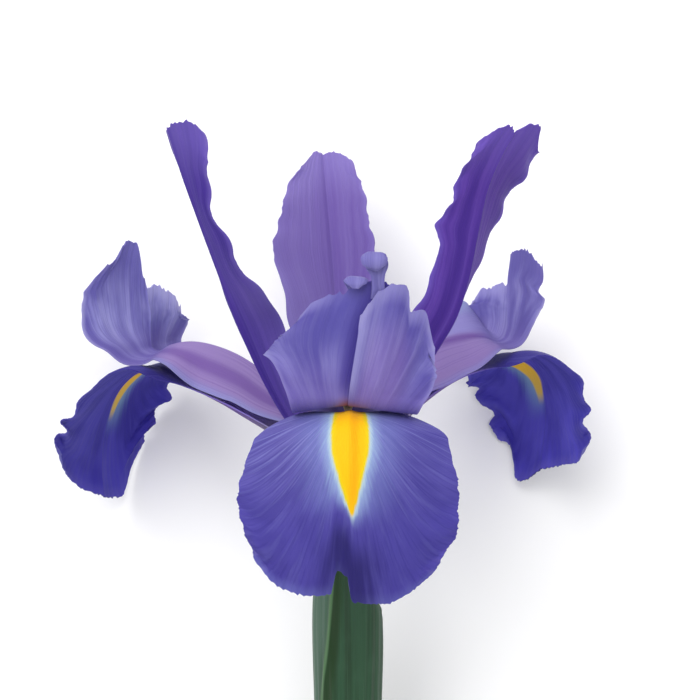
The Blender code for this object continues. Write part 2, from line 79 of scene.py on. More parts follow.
# A midrib lists (distance from the axis, shift to the right, height).
# A row of any other list is (station along the midrib, value), or (station, left half, right half).
# `width` is that of one half. `fold` raises the halves from the midrib and `curl` bends each one across.
# `ruffle` waves the margins, and `teeth` is the depth of their small waves.
# `crown` shapes the tip margin: (share of the way across, how many stations the tip is cut back there).
FALLS = {
    "front": {
        "midrib": [(FALL_SEAT, 0, FALL_SEAT_HEIGHT), (7, 0, 4), (11, 0, 7.2), (17, 0, 10.6), (25, 0, 13.6),
                   (33, 0, 16.9), (39, 0, 18.4), (44, 0, 17.2), (46.8, 0, 12), (47.8, 0, 4), (47.6, 0, -4),
                   (46.4, 0, -11), (44.8, 0, -16.2), (44, 0, -18)],
        "width": [(0, 2.2), (0.15, 3.4), (0.35, 4.6), (0.46, 8.6, 9.8), (0.53, 16, 17.8), (0.6, 18.5, 19.3),
                  (0.7, 20.5, 21), (0.8, 21), (0.9, 20, 20.5), (1, 18, 16.5)],
        "fold": [(0, 30), (0.3, 24), (0.5, 0), (0.7, -4), (1, -4)],
        "curl": [(0, 15), (0.4, 0), (0.55, -16), (0.8, -12), (1, -8)],
        "ruffle": [(0.45, 0), (0.7, 0.3), (1, 0.5)],
        "ruffle_phase": 0.5,
        "teeth": 0.12,
        "crown": [(0, 0.1), (0.035, 0.108, 0.09), (0.07, 0.112, 0.052), (0.165, 0.112, 0.045),
                  (0.2, 0.072, 0.043), (0.27, 0.064, 0.042), (0.5, 0.06, 0.04), (0.8, 0.085, 0.075),
                  (1, 0.14, 0.11)],
    },
    "left": {
        "midrib": [(FALL_SEAT, 0, FALL_SEAT_HEIGHT), (7.5, 0, 3.2), (12, 0, 5.6), (17, 0, 7.9), (25, 0, 11.7),
                   (31.6, 0, 15), (36.4, 0, 17.2), (41.5, 0, 18.2), (45, 0, 17.3), (48.2, 0, 14.8),
                   (50.6, 0, 11.5), (52.2, 0, 7.9), (53.4, 0, 3.2), (54, 0, -3), (53.4, 0, -9)],
        "width": [(0, 2.2), (0.15, 3.4), (0.36, 4.6), (0.46, 6), (0.52, 7.5, 11.5), (0.6, 13.5, 17),
                  (0.7, 17.5, 22.5), (0.8, 18, 24), (0.86, 16.5, 23), (0.93, 14, 21.5), (1, 15, 20)],
        "fold": [(0, 30), (0.3, 22), (0.48, 0, 6), (0.55, 10, 15), (0.65, 6, 2), (0.8, 0), (1, 3, 10)],
        "curl": [(0, 15), (0.4, 0), (0.55, -25, -16), (0.8, -26, -8), (1, -22, -3)],
        "ruffle": [(0.45, 0), (0.7, 0.8), (1, 1.4)],
        "ruffle_phase": 2.1,
        "teeth": 0.4,
        "crown": [(0, 0.01), (0.35, 0, 0.045), (0.55, 0, 0.075), (0.8, 0.08, 0.12), (1, 0.135, 0.17)],
    },
    "right": {
        "midrib": [(FALL_SEAT, 0, FALL_SEAT_HEIGHT), (7, 0, 4.5), (11, 0, 8.5), (16.2, 0, 12.5),
                   (21.9, 0, 15.9), (27.6, 0, 18.6), (32.3, 0, 20), (36.7, 0, 20.6), (40.6, 0, 19.6),
                   (43.6, 0, 16.6), (45.3, 0, 12.2), (45.9, 0, 7.3), (45.6, 0, 2.4), (44.8, 0, -2),
                   (43.4, 0, -5.5)],
        "width": [(0, 2.2), (0.15, 3.4), (0.36, 4.6), (0.47, 6.5, 9), (0.54, 12.5, 15), (0.6, 15, 17.2),
                  (0.7, 18.5, 17.8), (0.8, 19, 17.6), (0.9, 19, 16), (1, 18, 13)],
        "fold": [(0, 30), (0.3, 22), (0.48, 6, 0), (0.55, 20, -13), (0.65, 10, -11), (0.8, 0, -5), (1, 6, 0)],
        "curl": [(0, 15), (0.4, 0), (0.55, -27), (0.8, -22, -27), (1, -14, -18)],
        "ruffle": [(0.45, 0), (0.7, 0.8), (1, 1.4)],
        "ruffle_phase": 4.1,
        "teeth": 0.4,
        "crown": [(0, 0.04), (0.15, 0.05, 0.025), (0.35, 0.065, 0), (0.55, 0.075, 0), (0.8, 0.09),
                  (1, 0.125, 0.1)],
    },
}

STANDARDS = {
    "left": {
        "midrib": [(STANDARD_SEAT, 0, SEAT_HEIGHT), (8, 0, 6), (13.8, 0, 14), (18.1, 0, 21.5),
                   (22.3, 0, 30.5), (26.4, 0, 41), (29.9, 0, 50), (33.5, 0, 59.5), (36.9, 0, 69.2)],
        "twist": [(0, 0), (0.3, 5), (0.42, 0), (0.58, -24), (0.8, -22), (1, 5)],
        "width": [(0, 1.5), (0.2, 3, 4.5), (0.38, 9, 7.6), (0.5, 10, 8), (0.56, 10, 8.2), (0.6, 10.7, 7),
                  (0.65, 11, 7.4), (0.71, 11, 7), (0.75, 10.8, 5.4), (0.82, 10.4, 5.7), (0.88, 10, 6.8),
                  (0.94, 9.2, 7.9), (1, 7, 7.3)],
        "fold": [(0, 35), (0.3, 22, 60), (0.42, 13, 65), (0.55, -8, 40), (0.72, -13, 27), (0.86, -3, 28),
                 (1, 8, 23)],
        "curl": [(0, 10), (0.5, 15), (0.8, 20), (1, 25)],
        "ruffle": [(0.3, 0), (0.6, 0.3), (1, 0.6)],
        "ruffle_phase": 0.5,
        "teeth": 0.15,
        "crown": [(0, 0.02), (0.35, 0.03, 0.01), (0.8, 0.05, 0.02), (1, 0.055, 0.045)],
    },
    "right": {
        "midrib": [(STANDARD_SEAT, 0, SEAT_HEIGHT), (7.5, 0, 7), (12, 0, 15), (15.1, 0, 20.6),
                   (18.9, 0, 26.4), (22.3, 0, 32), (24.8, 0, 39.4), (26.8, 0, 48.2), (28.8, 0, 56.5),
                   (31.9, 0, 63), (36, 0, 69.2)],
        "twist": [(0, 0), (0.3, -5), (0.5, -18), (0.7, -26), (1, -20)],
        "width": [(0, 1.5), (0.2, 3), (0.4, 7.5, 3.5), (0.55, 7, 8), (0.64, 7.1, 8.5), (0.7, 8, 8.4),
                  (0.76, 7, 8.6), (0.85, 5.9, 9.3), (0.93, 6, 10.2), (1, 5, 9)],
        "fold": [(0, 35), (0.4, 50, 42), (0.7, 40, 23), (0.9, 18, -4), (1, 4, -16)],
        "curl": [(0, 10), (1, 10)],
        "ruffle": [(0.3, 0), (0.6, 0.5), (1, 0.9)],
        "ruffle_phase": 1.5,
        "teeth": 0.15,
        "crown": [(0, 0.035), (0.35, 0.025, 0), (0.55, 0.03, 0.005), (0.8, 0.06, 0.05), (1, 0.09, 0.07)],
    },
    "back": {
        "midrib": [(STANDARD_SEAT, 0, SEAT_HEIGHT), (7, 0, 8), (12, 0, 21), (19, 0, 34), (26, 0, 45),
                   (32, 0, 53), (36.5, 0, 59)],
        "width": [(0, 1.5), (0.2, 2.6), (0.4, 5.5, 11.5), (0.5, 8, 12), (0.62, 9.5, 14), (0.75, 8.5, 11.5),
                  (0.88, 8, 8.5), (1, 6, 3)],
        "fold": [(0, 30), (0.4, 20), (0.8, 12), (1, 5)],
        "curl": [(0, 10), (1, 20)],
        "ruffle": [(0.3, 0), (0.6, 0.3), (1, 0.6)],
        "ruffle_phase": 2.5,
        "teeth": 0.15,
        "crown": [(0, 0.005), (0.55, 0.01, 0), (0.8, 0.03, 0.01), (1, 0.045, 0.02)],
    },
}

# A style is an arched arm, a roof over the stamen, that forks at `fork` into two upright crests.
# `crest_gap` and `crest_lift` move each crest's inner edge sideways and towards the axis.
STYLES = {
    "front": {
        "midrib": [(STYLE_SEAT, 0, SEAT_HEIGHT), (2.4, 0, 7), (6.5, 0, 13.6), (13, 0, 18.8), (22, 0, 22.3),
                   (29, 0, 22.9), (34.5, 0, 21.7), (38.3, 0, 20.2), (40.8, 0.2, 20.8), (42.1, 0.6, 23.6),
                   (42.8, 1.4, 28), (43.2, 2.8, 35), (43.4, 4.6, 43.5)],
        "fork": 0.66,
        "width": [(0, 1.6), (0.2, 5), (0.42, 8.5), (0.6, 9.5), (0.68, 10.3, 12), (0.76, 14.4, 14.3),
                  (0.81, 17, 15), (0.86, 17.6, 15.3), (0.92, 17.2, 15), (1, 16, 14.5)],
        "fold": [(0, -35), (0.3, -50), (0.5, -40), (0.62, -11), (0.7, -5), (0.76, 0), (1, 8)],
        "crest_gap": [(0, 0), (0.66, 0), (0.72, 0, -0.3), (0.84, -1.2, -0.6), (0.92, -2.2, -0.8),
                      (1, -3, -1)],
        "crest_lift": [(0, 0), (0.66, 0), (0.72, 0.9, -0.6), (1, 1.2, -1)],
        "crown": [(0, 0, 0.03), (0.15, 0.002, 0.012), (0.35, 0.02, 0), (0.5, 0.042, 0), (0.6, 0.055, 0.03),
                  (0.8, 0.085, 0.06), (0.92, 0.13, 0.1), (1, 0.19, 0.13)],
    },
    "left": {
        "midrib": [(STYLE_SEAT, 0, SEAT_HEIGHT), (2.4, 0, 6.5), (7, 0, 12), (15.4, 0, 16.9), (20.1, 0, 20.3),
                   (26.1, 0, 22.8), (33, 0, 23.8), (37.8, 0, 22.9), (41, 0, 21.3), (42.6, 0, 21.9),
                   (43.3, 0, 24.3), (43.6, 0, 29), (43.6, 0, 36), (43.2, 0, 43.5)],
        "fork": 0.66,
        "width": [(0, 1.6), (0.2, 5), (0.42, 8.5, 9.5), (0.6, 9.5), (0.67, 11.5, 7.5), (0.72, 12.9, 10.7),
                  (0.76, 14, 14.4), (0.85, 14.5, 15.2), (0.93, 12.5, 14), (1, 11, 9.5)],
        "fold": [(0, -35), (0.3, -50), (0.5, -45), (0.62, -12, -13), (0.7, 0, -13), (0.78, 12, -30),
                 (1, 15, -30)],
        "crest_gap": [(0, 0), (0.66, 0), (0.74, 0.3), (0.92, 0.3), (1, 1)],
        "crest_lift": [(0, 0), (0.66, 0), (0.74, -0.9, 0.9), (1, -1.2, 1.2)],
        "crown": [(0, 0.145, 0.12), (0.12, 0.13, 0.08), (0.22, 0.125, 0.015), (0.35, 0.12, 0),
                  (0.6, 0.137, 0), (0.72, 0.142, 0.04), (1, 0.19, 0.05)],
    },
    "right": {
        "midrib": [(STYLE_SEAT, 0, SEAT_HEIGHT), (2.4, 0, 8), (6.5, 0, 16), (12, 0, 21), (18.4, 0, 23.8),
                   (25.3, 0, 24.7), (30.5, 0, 24.4), (34.2, 0, 23.2), (36, 0, 23.7), (37, 0, 25.6),
                   (37.4, 0, 29), (37.4, 0, 36), (37.4, 0, 45)],
        "fork": 0.64,
        "width": [(0, 1.6), (0.2, 5), (0.42, 9), (0.5, 8.5, 10), (0.58, 8, 12.5), (0.66, 5, 14),
                  (0.74, 6, 14.5), (0.8, 8, 15), (0.86, 9.2, 14.4), (0.9, 7.6, 13.5), (0.94, 8.8, 12),
                  (1, 8.5, 10)],
        "fold": [(0, -35), (0.3, -52, -48), (0.42, -48, -20), (0.52, -40, 25), (0.6, -14, 32), (0.66, -8, 28),
                 (0.72, -14, 22), (0.8, -18, 18), (1, -15, 12)],
        "crest_gap": [(0, 0), (0.64, 0), (0.72, 0.3), (0.92, 0.3), (1, 1)],
        "crest_lift": [(0, 0), (0.64, 0), (0.72, 0.9, -0.9), (1, 1.2, -1.2)],
        "crown": [(0, 0.05, 0.145), (0.35, 0.04, 0.145), (0.55, 0.04, 0.155), (0.8, 0.065, 0.17),
                  (1, 0.08, 0.2)],
    },
}
STYLE_CURL = [(0, -10), (0.5, -10), (0.8, 5), (1, 10)]

# Stamens lie under the style arms: thread up to ANTHER_START, then the anther.
STAMENS = {
    "front": [(STAMEN_SEAT, 0, SEAT_HEIGHT), (4, 0, 5), (8.5, 0, 10), (14, 0, 13.6), (20, 0, 16.5),
              (26, 0, 18), (31, 0, 19)],
    "left": [(STAMEN_SEAT, 0, SEAT_HEIGHT), (4.2, 0, 5), (9, 0, 9), (15, 0, 12.6), (20, 0, 15.4),
             (26, 0, 18), (31, 0, 19.4)],
    "right": [(STAMEN_SEAT, 0, SEAT_HEIGHT), (3.7, 0, 6), (7.5, 0, 11.8), (13, 0, 16), (18.5, 0, 18.7),
              (24, 0, 20.8), (29, 0, 21.9)],
}
ANTHER_START = 0.58

# Turned outlines, (radius, height), from the top down.
OVARY_PROFILE = [(0, 0), (5.0, 0), (5.0, -0.8), (2.4, -4), (1.8, -7), (2.6, -11), (3.1, -17), (2.9, -24),
                 (2.0, -30), (1.8, STEM_TOP + OVARY_GAP), (0, STEM_TOP + OVARY_GAP)]

# Spathe valves: (height, radius, half of the angle it wraps), from the base to the tip.
SPATHES = {
    "outer": {
        "azimuth": -23,
        "valve": [(-74, 4.3, 168), (-70.5, 4.45, 167), (-66.5, 5.3, 165), (-60, 5.55, 160), (-50, 5.85, 155),
                  (-41, 6.15, 150), (-32, 6.4, 135), (-25, 6.4, 100), (-20, 6.1, 58), (-16.5, 5.6, 32),
                  (-14.2, 5.2, 16)],
        "keel": 0.7,
    },
    "inner": {
        "azimuth": 160,
        "valve": [(-65.5, 4.2, 150), (-60, 4.3, 150), (-50, 4.5, 145), (-41, 4.8, 140), (-32, 5.1, 120),
                  (-25, 5.1, 85), (-20, 4.8, 48), (-17, 4.4, 20), (-15, 4.1, 5)],
        "keel": 0.2,
    },
}

KEEL_WIDTH = 14


def through(keys, station):
    """A smooth curve through (station, value) keys, level beyond the first and the last of them."""
    stations, values = np.asarray(keys, float).T
    station = np.clip(station, stations[0], stations[-1])
    slopes = np.diff(values) / np.diff(stations)
    tangents = np.concatenate([slopes[:1], (slopes[:-1] + slopes[1:]) / 2, slopes[-1:]])
    before = np.clip(np.searchsorted(stations, station, side="right") - 1, 0, len(stations) - 2)
    span = np.diff(stations)[before]
    t = (station - stations[before]) / span
    return (
        (1 + 2 * t) * (1 - t) ** 2 * values[before]
        + t * (1 - t) ** 2 * span * tangents[before]
        + t * t * (3 - 2 * t) * values[before + 1]
        + t * t * (t - 1) * span * tangents[before + 1]
    )


def through_sides(keys, station, right):
    """The same for keys that may give the left and the right half values of their own."""
    left_half = through([key[:2] for key in keys], station)
    right_half = through([(key[0], key[-1]) for key in keys], station)
    return np.where(right, right_half, left_half)


def rise(start, end, x):
    """0 up to start, 1 from end on, and a smooth step between."""
    t = np.clip((x - start) / (end - start), 0, 1)
    return t * t * (3 - 2 * t)


class Midrib:
    """Evenly spaced points along a petal's midrib, each with the petal's own directions there."""

    SAMPLES = 400

    def __init__(self, azimuth, points, twist=((0, 0), (1, 0))):
        angle = math.radians(azimuth)
        outward = np.array([math.sin(angle), -math.cos(angle), 0])
        sideways = np.array([math.cos(angle), math.sin(angle), 0])
        upward = np.array([0, 0, 1])
        keys = np.array([r * outward + s * sideways + z * upward for r, s, z in points])
        chord = np.concatenate([[0], np.cumsum(np.linalg.norm(np.diff(keys, axis=0), axis=1))])
        along = np.linspace(0, chord[-1], self.SAMPLES)
        path = np.stack([through(np.column_stack([chord, keys[:, i]]), along) for i in range(3)], 1)
        arc = np.concatenate([[0], np.cumsum(np.linalg.norm(np.diff(path, axis=0), axis=1))])
        self.station = np.linspace(0, 1, self.SAMPLES)
        even = self.station * arc[-1]
        self.point = np.stack([np.interp(even, arc, path[:, i]) for i in range(3)], 1)
        tangent = np.gradient(self.point, axis=0)
        tangent /= np.linalg.norm(tangent, axis=1)[:, None]
        across = sideways - tangent * (tangent @ sideways)[:, None]
        across /= np.linalg.norm(across, axis=1)[:, None]
        inward = np.cross(tangent, across)
        turn = np.radians(through(twist, self.station))[:, None]
        self.across = across * np.cos(turn) + inward * np.sin(turn)
        self.inward = inward * np.cos(turn) - across * np.sin(turn)

    def at(self, station):
        """The midrib's point, its direction across the petal, and the one towards the flower's axis."""
        return [
            np.stack([np.interp(station, self.station, rows[:, i]) for i in range(3)], -1)
            for rows in (self.point, self.across, self.inward)
        ]


# From the flower's frame to the world, where it lies on the table.
LAID_DOWN = (Matrix.Rotation(math.radians(REST_TILT - 90), 3, "X")
             @ Matrix.Rotation(math.radians(REST_ROLL), 3, "Z"))


def world(points):
    """Points of the flower's frame, in millimetres, as points of the world, in metres."""
    return (np.asarray(points) @ np.array(LAID_DOWN).T + np.array(REST_PLACE)) * MM


# ---- Camera, floor and light ----

CAMERA_AIM = (0.375, 0, 24.39)
CAMERA_DISTANCE = 650
CAMERA_ELEVATION = 8
CAMERA_LENS = 178.2
SENSOR = 36

WORLD_STRENGTH = 0.62
LIGHTS_AIM = (0, 0, 10)
FLOOR_SIZE = 6
FLOOR_CLOUDS = 6
# Power in watts, then side and place from the point that they face, in metres.
LIGHTS = {
    "key": (11, 1.0, (-0.35, 0.45, 1.0)),
    "fill": (4, 1.2, (0.5, -0.3, 1.1)),
}


def add_camera():
    """A long lens in front of the flower and a little above its axis."""
    tilt = math.radians(CAMERA_ELEVATION)
    back = np.array([0, -math.cos(tilt), math.sin(tilt)])
    up = Vector(np.array(LAID_DOWN) @ np.array([0, math.sin(tilt), math.cos(tilt)]))
    backward = Vector(np.array(LAID_DOWN) @ back)
    right = up.cross(backward)
    data = bpy.data.cameras.new("camera")
    data.lens = CAMERA_LENS
    data.sensor_width = SENSOR
    data.clip_start = 0.01
    data.clip_end = 50
    camera = bpy.data.objects.new("camera", data)
    place = Matrix((right, up, backward)).transposed().to_4x4()
    place.translation = Vector(world(np.array(CAMERA_AIM) + CAMERA_DISTANCE * back))
    camera.matrix_world = place
    bpy.context.scene.collection.objects.link(camera)
    bpy.context.scene.camera = camera


def add_lights():
    """A large soft key light and a weaker one across from it, both facing the flower."""
    aim = world(LIGHTS_AIM)
    for name, (power, size, offset) in LIGHTS.items():
        data = bpy.data.lights.new(name, "AREA")
        data.energy = power
        data.shape = "SQUARE"
        data.size = size
        light = bpy.data.objects.new(name, data)
        place = aim + np.array(offset)
        light.location = place
        light.rotation_euler = (Vector(aim) - Vector(place)).to_track_quat("-Z", "Y").to_euler()
        bpy.context.scene.collection.objects.link(light)


def add_studio():
    """A pale floor under an even white surround."""
    scene = bpy.context.scene
    scene.view_settings.view_transform = "Standard"
    scene.view_settings.look = "None"
    scene.world = bpy.data.worlds.new("surround")
    scene.world.use_nodes = True
    background = scene.world.node_tree.nodes["Background"]
    background.inputs["Color"].default_value = (1, 1, 1, 1)
    background.inputs["Strength"].default_value = WORLD_STRENGTH
    add_lights()
    half = FLOOR_SIZE / 2
    corners = [(-half, -half, 0), (half, -half, 0), (half, half, 0), (-half, half, 0)]
    mesh = bpy.data.meshes.new("floor")
    mesh.from_pydata(corners, [], [(0, 1, 2, 3)])
    floor = bpy.data.objects.new("floor", mesh)
    scene.collection.objects.link(floor)
    graph = Graph("floor")
    graph.ground = graph.mix(graph.noise(graph.place(), FLOOR_CLOUDS, 3), (250, 250, 250), (255, 255, 255))
    graph.set("Roughness", 0.8)
    mesh.materials.append(graph.done())


# ---- Node graphs ----


def srgb(red, green, blue):
    """A screen colour, 0 to 255 a channel, as a shader colour."""
    screen = np.array([red, green, blue]) / 255
    linear = np.where(screen <= 0.04045, screen / 12.92, ((screen + 0.055) / 1.055) ** 2.4)
    return (*linear.tolist(), 1)


class Graph:
    """One material, and ground, its colour so far. Most methods add a node and give back its output.

    A colour is a screen colour, (red, green, blue) from 0 to 255, or an output."""

    def __init__(self, name):
        self.material = bpy.data.materials.new(name)
        self.material.use_nodes = True
        self.tree = self.material.node_tree
        self.shader = self.tree.nodes["Principled BSDF"]
        self.ground = None

    def feed(self, socket, value):
        if isinstance(value, bpy.types.NodeSocket):
            self.tree.links.new(value, socket)
        else:
            socket.default_value = value

    def node(self, kind, feeds, output=0, **settings):
        made = self.tree.nodes.new(kind)
        for name, value in settings.items():
            setattr(made, name, value)
        for socket, value in feeds.items():
            self.feed(made.inputs[socket], value)
        return made.outputs[output]

    def maths(self, operation, *values):
        return self.node("ShaderNodeMath", dict(enumerate(values)), operation=operation)

    def add(self, first, second):
        return self.maths("ADD", first, second)

    def less(self, first, second):
        return self.maths("SUBTRACT", first, second)

    def larger(self, first, second):
        return self.maths("MAXIMUM", first, second)

    def times(self, *values):
        product = values[0]
        for value in values[1:]:
            product = self.maths("MULTIPLY", product, value)
        return product

    def size(self, value):
        return self.maths("ABSOLUTE", value)

    def waver(self, distance, noise, depth):
        """distance moved to and fro by a noise round 0.5."""
        return self.add(distance, self.times(self.less(noise, 0.5), depth))

    def rise(self, value, start, end, low=0.0, high=1.0):
        """low up to start, high from end on, and a smooth step between. start may lie above end."""
        feeds = {"Value": value, "From Min": start, "From Max": end, "To Min": low, "To Max": high}
        if start > end:
            feeds.update({"From Min": end, "From Max": start, "To Min": high, "To Max": low})
        return self.node("ShaderNodeMapRange", feeds, interpolation_type="SMOOTHSTEP")

    def mix(self, amount, first, second):
        """first where amount is 0, second where it is 1."""
        first, second = (srgb(*colour) if isinstance(colour, tuple) else colour for colour in (first, second))
        feeds = {0: amount, 6: first, 7: second}
        return self.node("ShaderNodeMix", feeds, output=2, data_type="RGBA", clamp_factor=True)

    def paint(self, colour, *amounts):
        """Lays colour over the ground, as strongly as the product of the amounts."""
        self.ground = self.mix(self.times(*amounts), self.ground, colour)

    def profile(self, value, stops, largest=1.0):
        """A smooth curve through (position, value) stops, values from 0 to largest."""
        made = self.tree.nodes.new("ShaderNodeValToRGB")
        made.color_ramp.interpolation = "CARDINAL"
        elements = made.color_ramp.elements
        while len(elements) < len(stops):
            elements.new(0.5)
        for element, (position, height) in zip(elements, stops):
            element.position = position
        for element, (position, height) in zip(elements, stops):
            element.color = (*[height / largest] * 3, 1)
        self.feed(made.inputs[0], value)
        return self.times(made.outputs[0], largest)

    def across(self, layer):
        """The two coordinates of a UV layer."""
        split = self.tree.nodes.new("ShaderNodeSeparateXYZ")
        self.feed(split.inputs[0], self.node("ShaderNodeUVMap", {}, uv_map=layer))
        return split.outputs[0], split.outputs[1]

    def place(self):
        return self.node("ShaderNodeTexCoord", {}, output=3)

    def noise(self, place, scale, detail):
        return self.node("ShaderNodeTexNoise", {"Vector": place, "Scale": scale, "Detail": detail})

    def streaks(self, across, along, count, stretch, seed, detail=2.0):
        """Noise drawn out along the veins: count cells across, stretch cells along."""
        feeds = {0: self.times(across, count), 1: self.times(along, stretch), 2: seed}
        return self.noise(self.node("ShaderNodeCombineXYZ", feeds), 1.0, detail)

    def bump(self, height, strength, distance):
        feeds = {"Height": height, "Strength": strength, "Distance": distance}
        self.set("Normal", self.node("ShaderNodeBump", feeds))

    def set(self, name, value):
        self.feed(self.shader.inputs[name], value)

    def done(self):
        """The material, with the ground as its base colour."""
        self.set("Base Color", self.ground)
        return self.material


# ---- Materials ----
#
# On a petal, the layer "petal" holds u and v, "span" the distance from the midrib in centimetres, and "vein"
# which vein a point lies on and how far along it.

# Half width of the yellow signal, millimetres, along the fall, and how far it lies to the right.
SIGNAL = [(0.3, 0.8), (0.4, 1.9), (0.47, 2.6), (0.54, 3.1), (0.59, 3.35), (0.625, 3.05), (0.66, 2.4),
          (0.7, 1.75), (0.735, 1.1), (0.765, 0.55), (0.785, 0.0)]
SIGNAL_TIP = SIGNAL[-1][0]
SIGNAL_SHIFT = 0.4
MM_A_CM = 10

VELVET = {
    "Roughness": 0.62,
    "Specular IOR Level": 0.16,
    "Sheen Weight": 0.05,
    "Sheen Roughness": 0.5,
    "Sheen Tint": (0.7, 0.7, 1, 1),
    "Subsurface Weight": 0.1,
    "Subsurface Radius": (0.6, 0.5, 1.0),
    "Subsurface Scale": 0.0012,
}
PETAL_BUMP = (0.45, 0.0004)


def petal_finish(graph, height):
    """Velvet cells that scatter light softly, and the fine relief of the veins."""
    graph.bump(height, *PETAL_BUMP)
    for name, value in VELVET.items():
        graph.set(name, value)
    return graph.done()


def relief(graph, fine, threads):
    """Height of the two finest sets of veins together."""
    return graph.add(graph.times(fine, 0.6), graph.times(threads, 0.4))


def fall_material(name, seed, blade, deep, shade, start):
    """Upper face of a fall: yellow signal from station start on, pale halo with rays, fanned veins and a dark
    middle below."""
    graph = Graph(name)
    _, v = graph.across("petal")
    span, _ = graph.across("span")
    w, reach = graph.across("vein")
    x = graph.less(graph.times(span, MM_A_CM), SIGNAL_SHIFT)
    fine = graph.streaks(w, reach, 44, 0.6, seed, 3)
    threads = graph.streaks(w, reach, 110, 0.8, seed + 6)
    broad = graph.streaks(w, reach, 11, 0.8, seed + 3)
    bare = graph.rise(v, start - 0.04, start + 0.06)

    # The blade: deeper towards its tip, partly in colour and partly as painted shade, with pale veins near
    # the signal, dark ones and a pale rim.
    graph.ground = graph.mix(graph.rise(v, 0.52, 0.86), blade, deep)
    graph.paint(shade, graph.rise(broad, 0.62, 0.36), 0.35)
    inner = graph.times(graph.rise(reach, 2.9, 0.6), bare)
    graph.paint((132, 134, 196), graph.rise(fine, 0.5, 0.66), graph.add(graph.times(inner, 0.5), 0.09))
    graph.paint(shade, graph.rise(threads, 0.5, 0.36), 0.4)
    graph.paint((108, 112, 180), graph.rise(v, 0.965, 1.0), 0.4)
    # Painted shade: the blade darker towards its right, away from the light.
    graph.paint((56, 50, 134), graph.rise(x, 1, 9, 0, 0.25))
    middle = graph.rise(graph.waver(graph.size(x), fine, 6), 8, 0.8)
    graph.paint((30, 24, 88), middle, graph.rise(v, 0.8, 0.92), 0.85)

    # Round the signal: long rays, a glow and a thin pale rim.
    beyond = graph.less(graph.size(x), graph.profile(v, SIGNAL, 4.0))
    near_tip = graph.times(graph.rise(v, SIGNAL_TIP + 0.03, SIGNAL_TIP - 0.07), bare)
    graph.paint((130, 144, 202), graph.rise(graph.waver(beyond, fine, 9), 8.5, 0.5), near_tip, 0.38)
    graph.paint((146, 168, 204), graph.rise(graph.waver(beyond, fine, 3), 2.8, 0.2), near_tip, 0.72)
    rim = graph.rise(graph.waver(beyond, threads, 1), 0.9, 0.1)
    graph.paint((174, 198, 204), rim, graph.rise(v, SIGNAL_TIP + 0.02, SIGNAL_TIP - 0.02), bare, 0.8)

    # The haft, then the signal, greener at its edge and orange in its middle and at its foot.
    haft = graph.mix(graph.rise(v, 0.3, 0.05), (136, 116, 206), (140, 142, 96))
    graph.paint(haft, graph.rise(v, 0.47, 0.37))
    yellow = graph.mix(graph.rise(beyond, -1.1, -0.1), (244, 182, 2), (214, 192, 10))
    stripe = graph.rise(graph.size(graph.less(x, 0.6)), 1.3, 0.2, 0, 0.4)
    yellow = graph.mix(graph.larger(stripe, graph.rise(v, 0.50, 0.44)), yellow, (234, 148, 2))
    signal = graph.rise(graph.waver(beyond, threads, 0.6), 0.25, -0.25)
    graph.paint(yellow, signal, graph.rise(v, SIGNAL_TIP + 0.012, SIGNAL_TIP - 0.012), bare)
    return petal_finish(graph, relief(graph, fine, threads))


def fall_back_material(name, seed, blade, shade, shift):
    """Lower face of a fall: deep blue, with a golden stripe beside its midrib and a pale halo further out.

    shift is how far the stripe's two ends lie from the midrib, in millimetres, positive to the right."""
    graph = Graph(name)
    u, v = graph.across("petal")
    span, _ = graph.across("span")
    w, reach = graph.across("vein")
    x = graph.less(graph.times(span, MM_A_CM), graph.rise(v, 0.54, 0.72, *shift))
    fine = graph.streaks(w, reach, 36, 0.5, seed, 3)
    broad = graph.streaks(w, reach, 8, 0.7, seed + 2)
    graph.ground = graph.mix(graph.rise(broad, 0.35, 0.62), shade, blade)
    graph.paint((88, 82, 172), graph.rise(fine, 0.55, 0.7), 0.2)
    graph.paint((102, 96, 178), graph.larger(graph.rise(graph.size(u), 0.9, 1), graph.rise(v, 0.96, 1)), 0.3)
    beside = graph.times(x, math.copysign(1, shift[0]))
    halo = graph.times(graph.rise(beside, -1.6, 0.2), graph.rise(graph.waver(beside, fine, 3), 5.4, 0.8))
    length = graph.times(graph.rise(v, 0.56, 0.6), graph.rise(v, 0.84, 0.7))
    graph.paint((124, 162, 186), halo, length, 0.85)
    gold = graph.mix(graph.rise(v, 0.6, 0.78), (238, 188, 36), (206, 174, 84))
    stripe = graph.rise(graph.less(graph.size(x), graph.rise(v, 0.6, 0.79, 2.3, 0.7)), 0.35, -0.35)
    graph.paint(gold, stripe, graph.rise(v, 0.55, 0.58), graph.rise(v, 0.79, 0.74))
    haft = graph.mix(graph.rise(v, 0.3, 0.05), (104, 76, 150), (104, 112, 72))
    graph.paint(haft, graph.rise(v, 0.54, 0.46))
    return petal_finish(graph, fine)


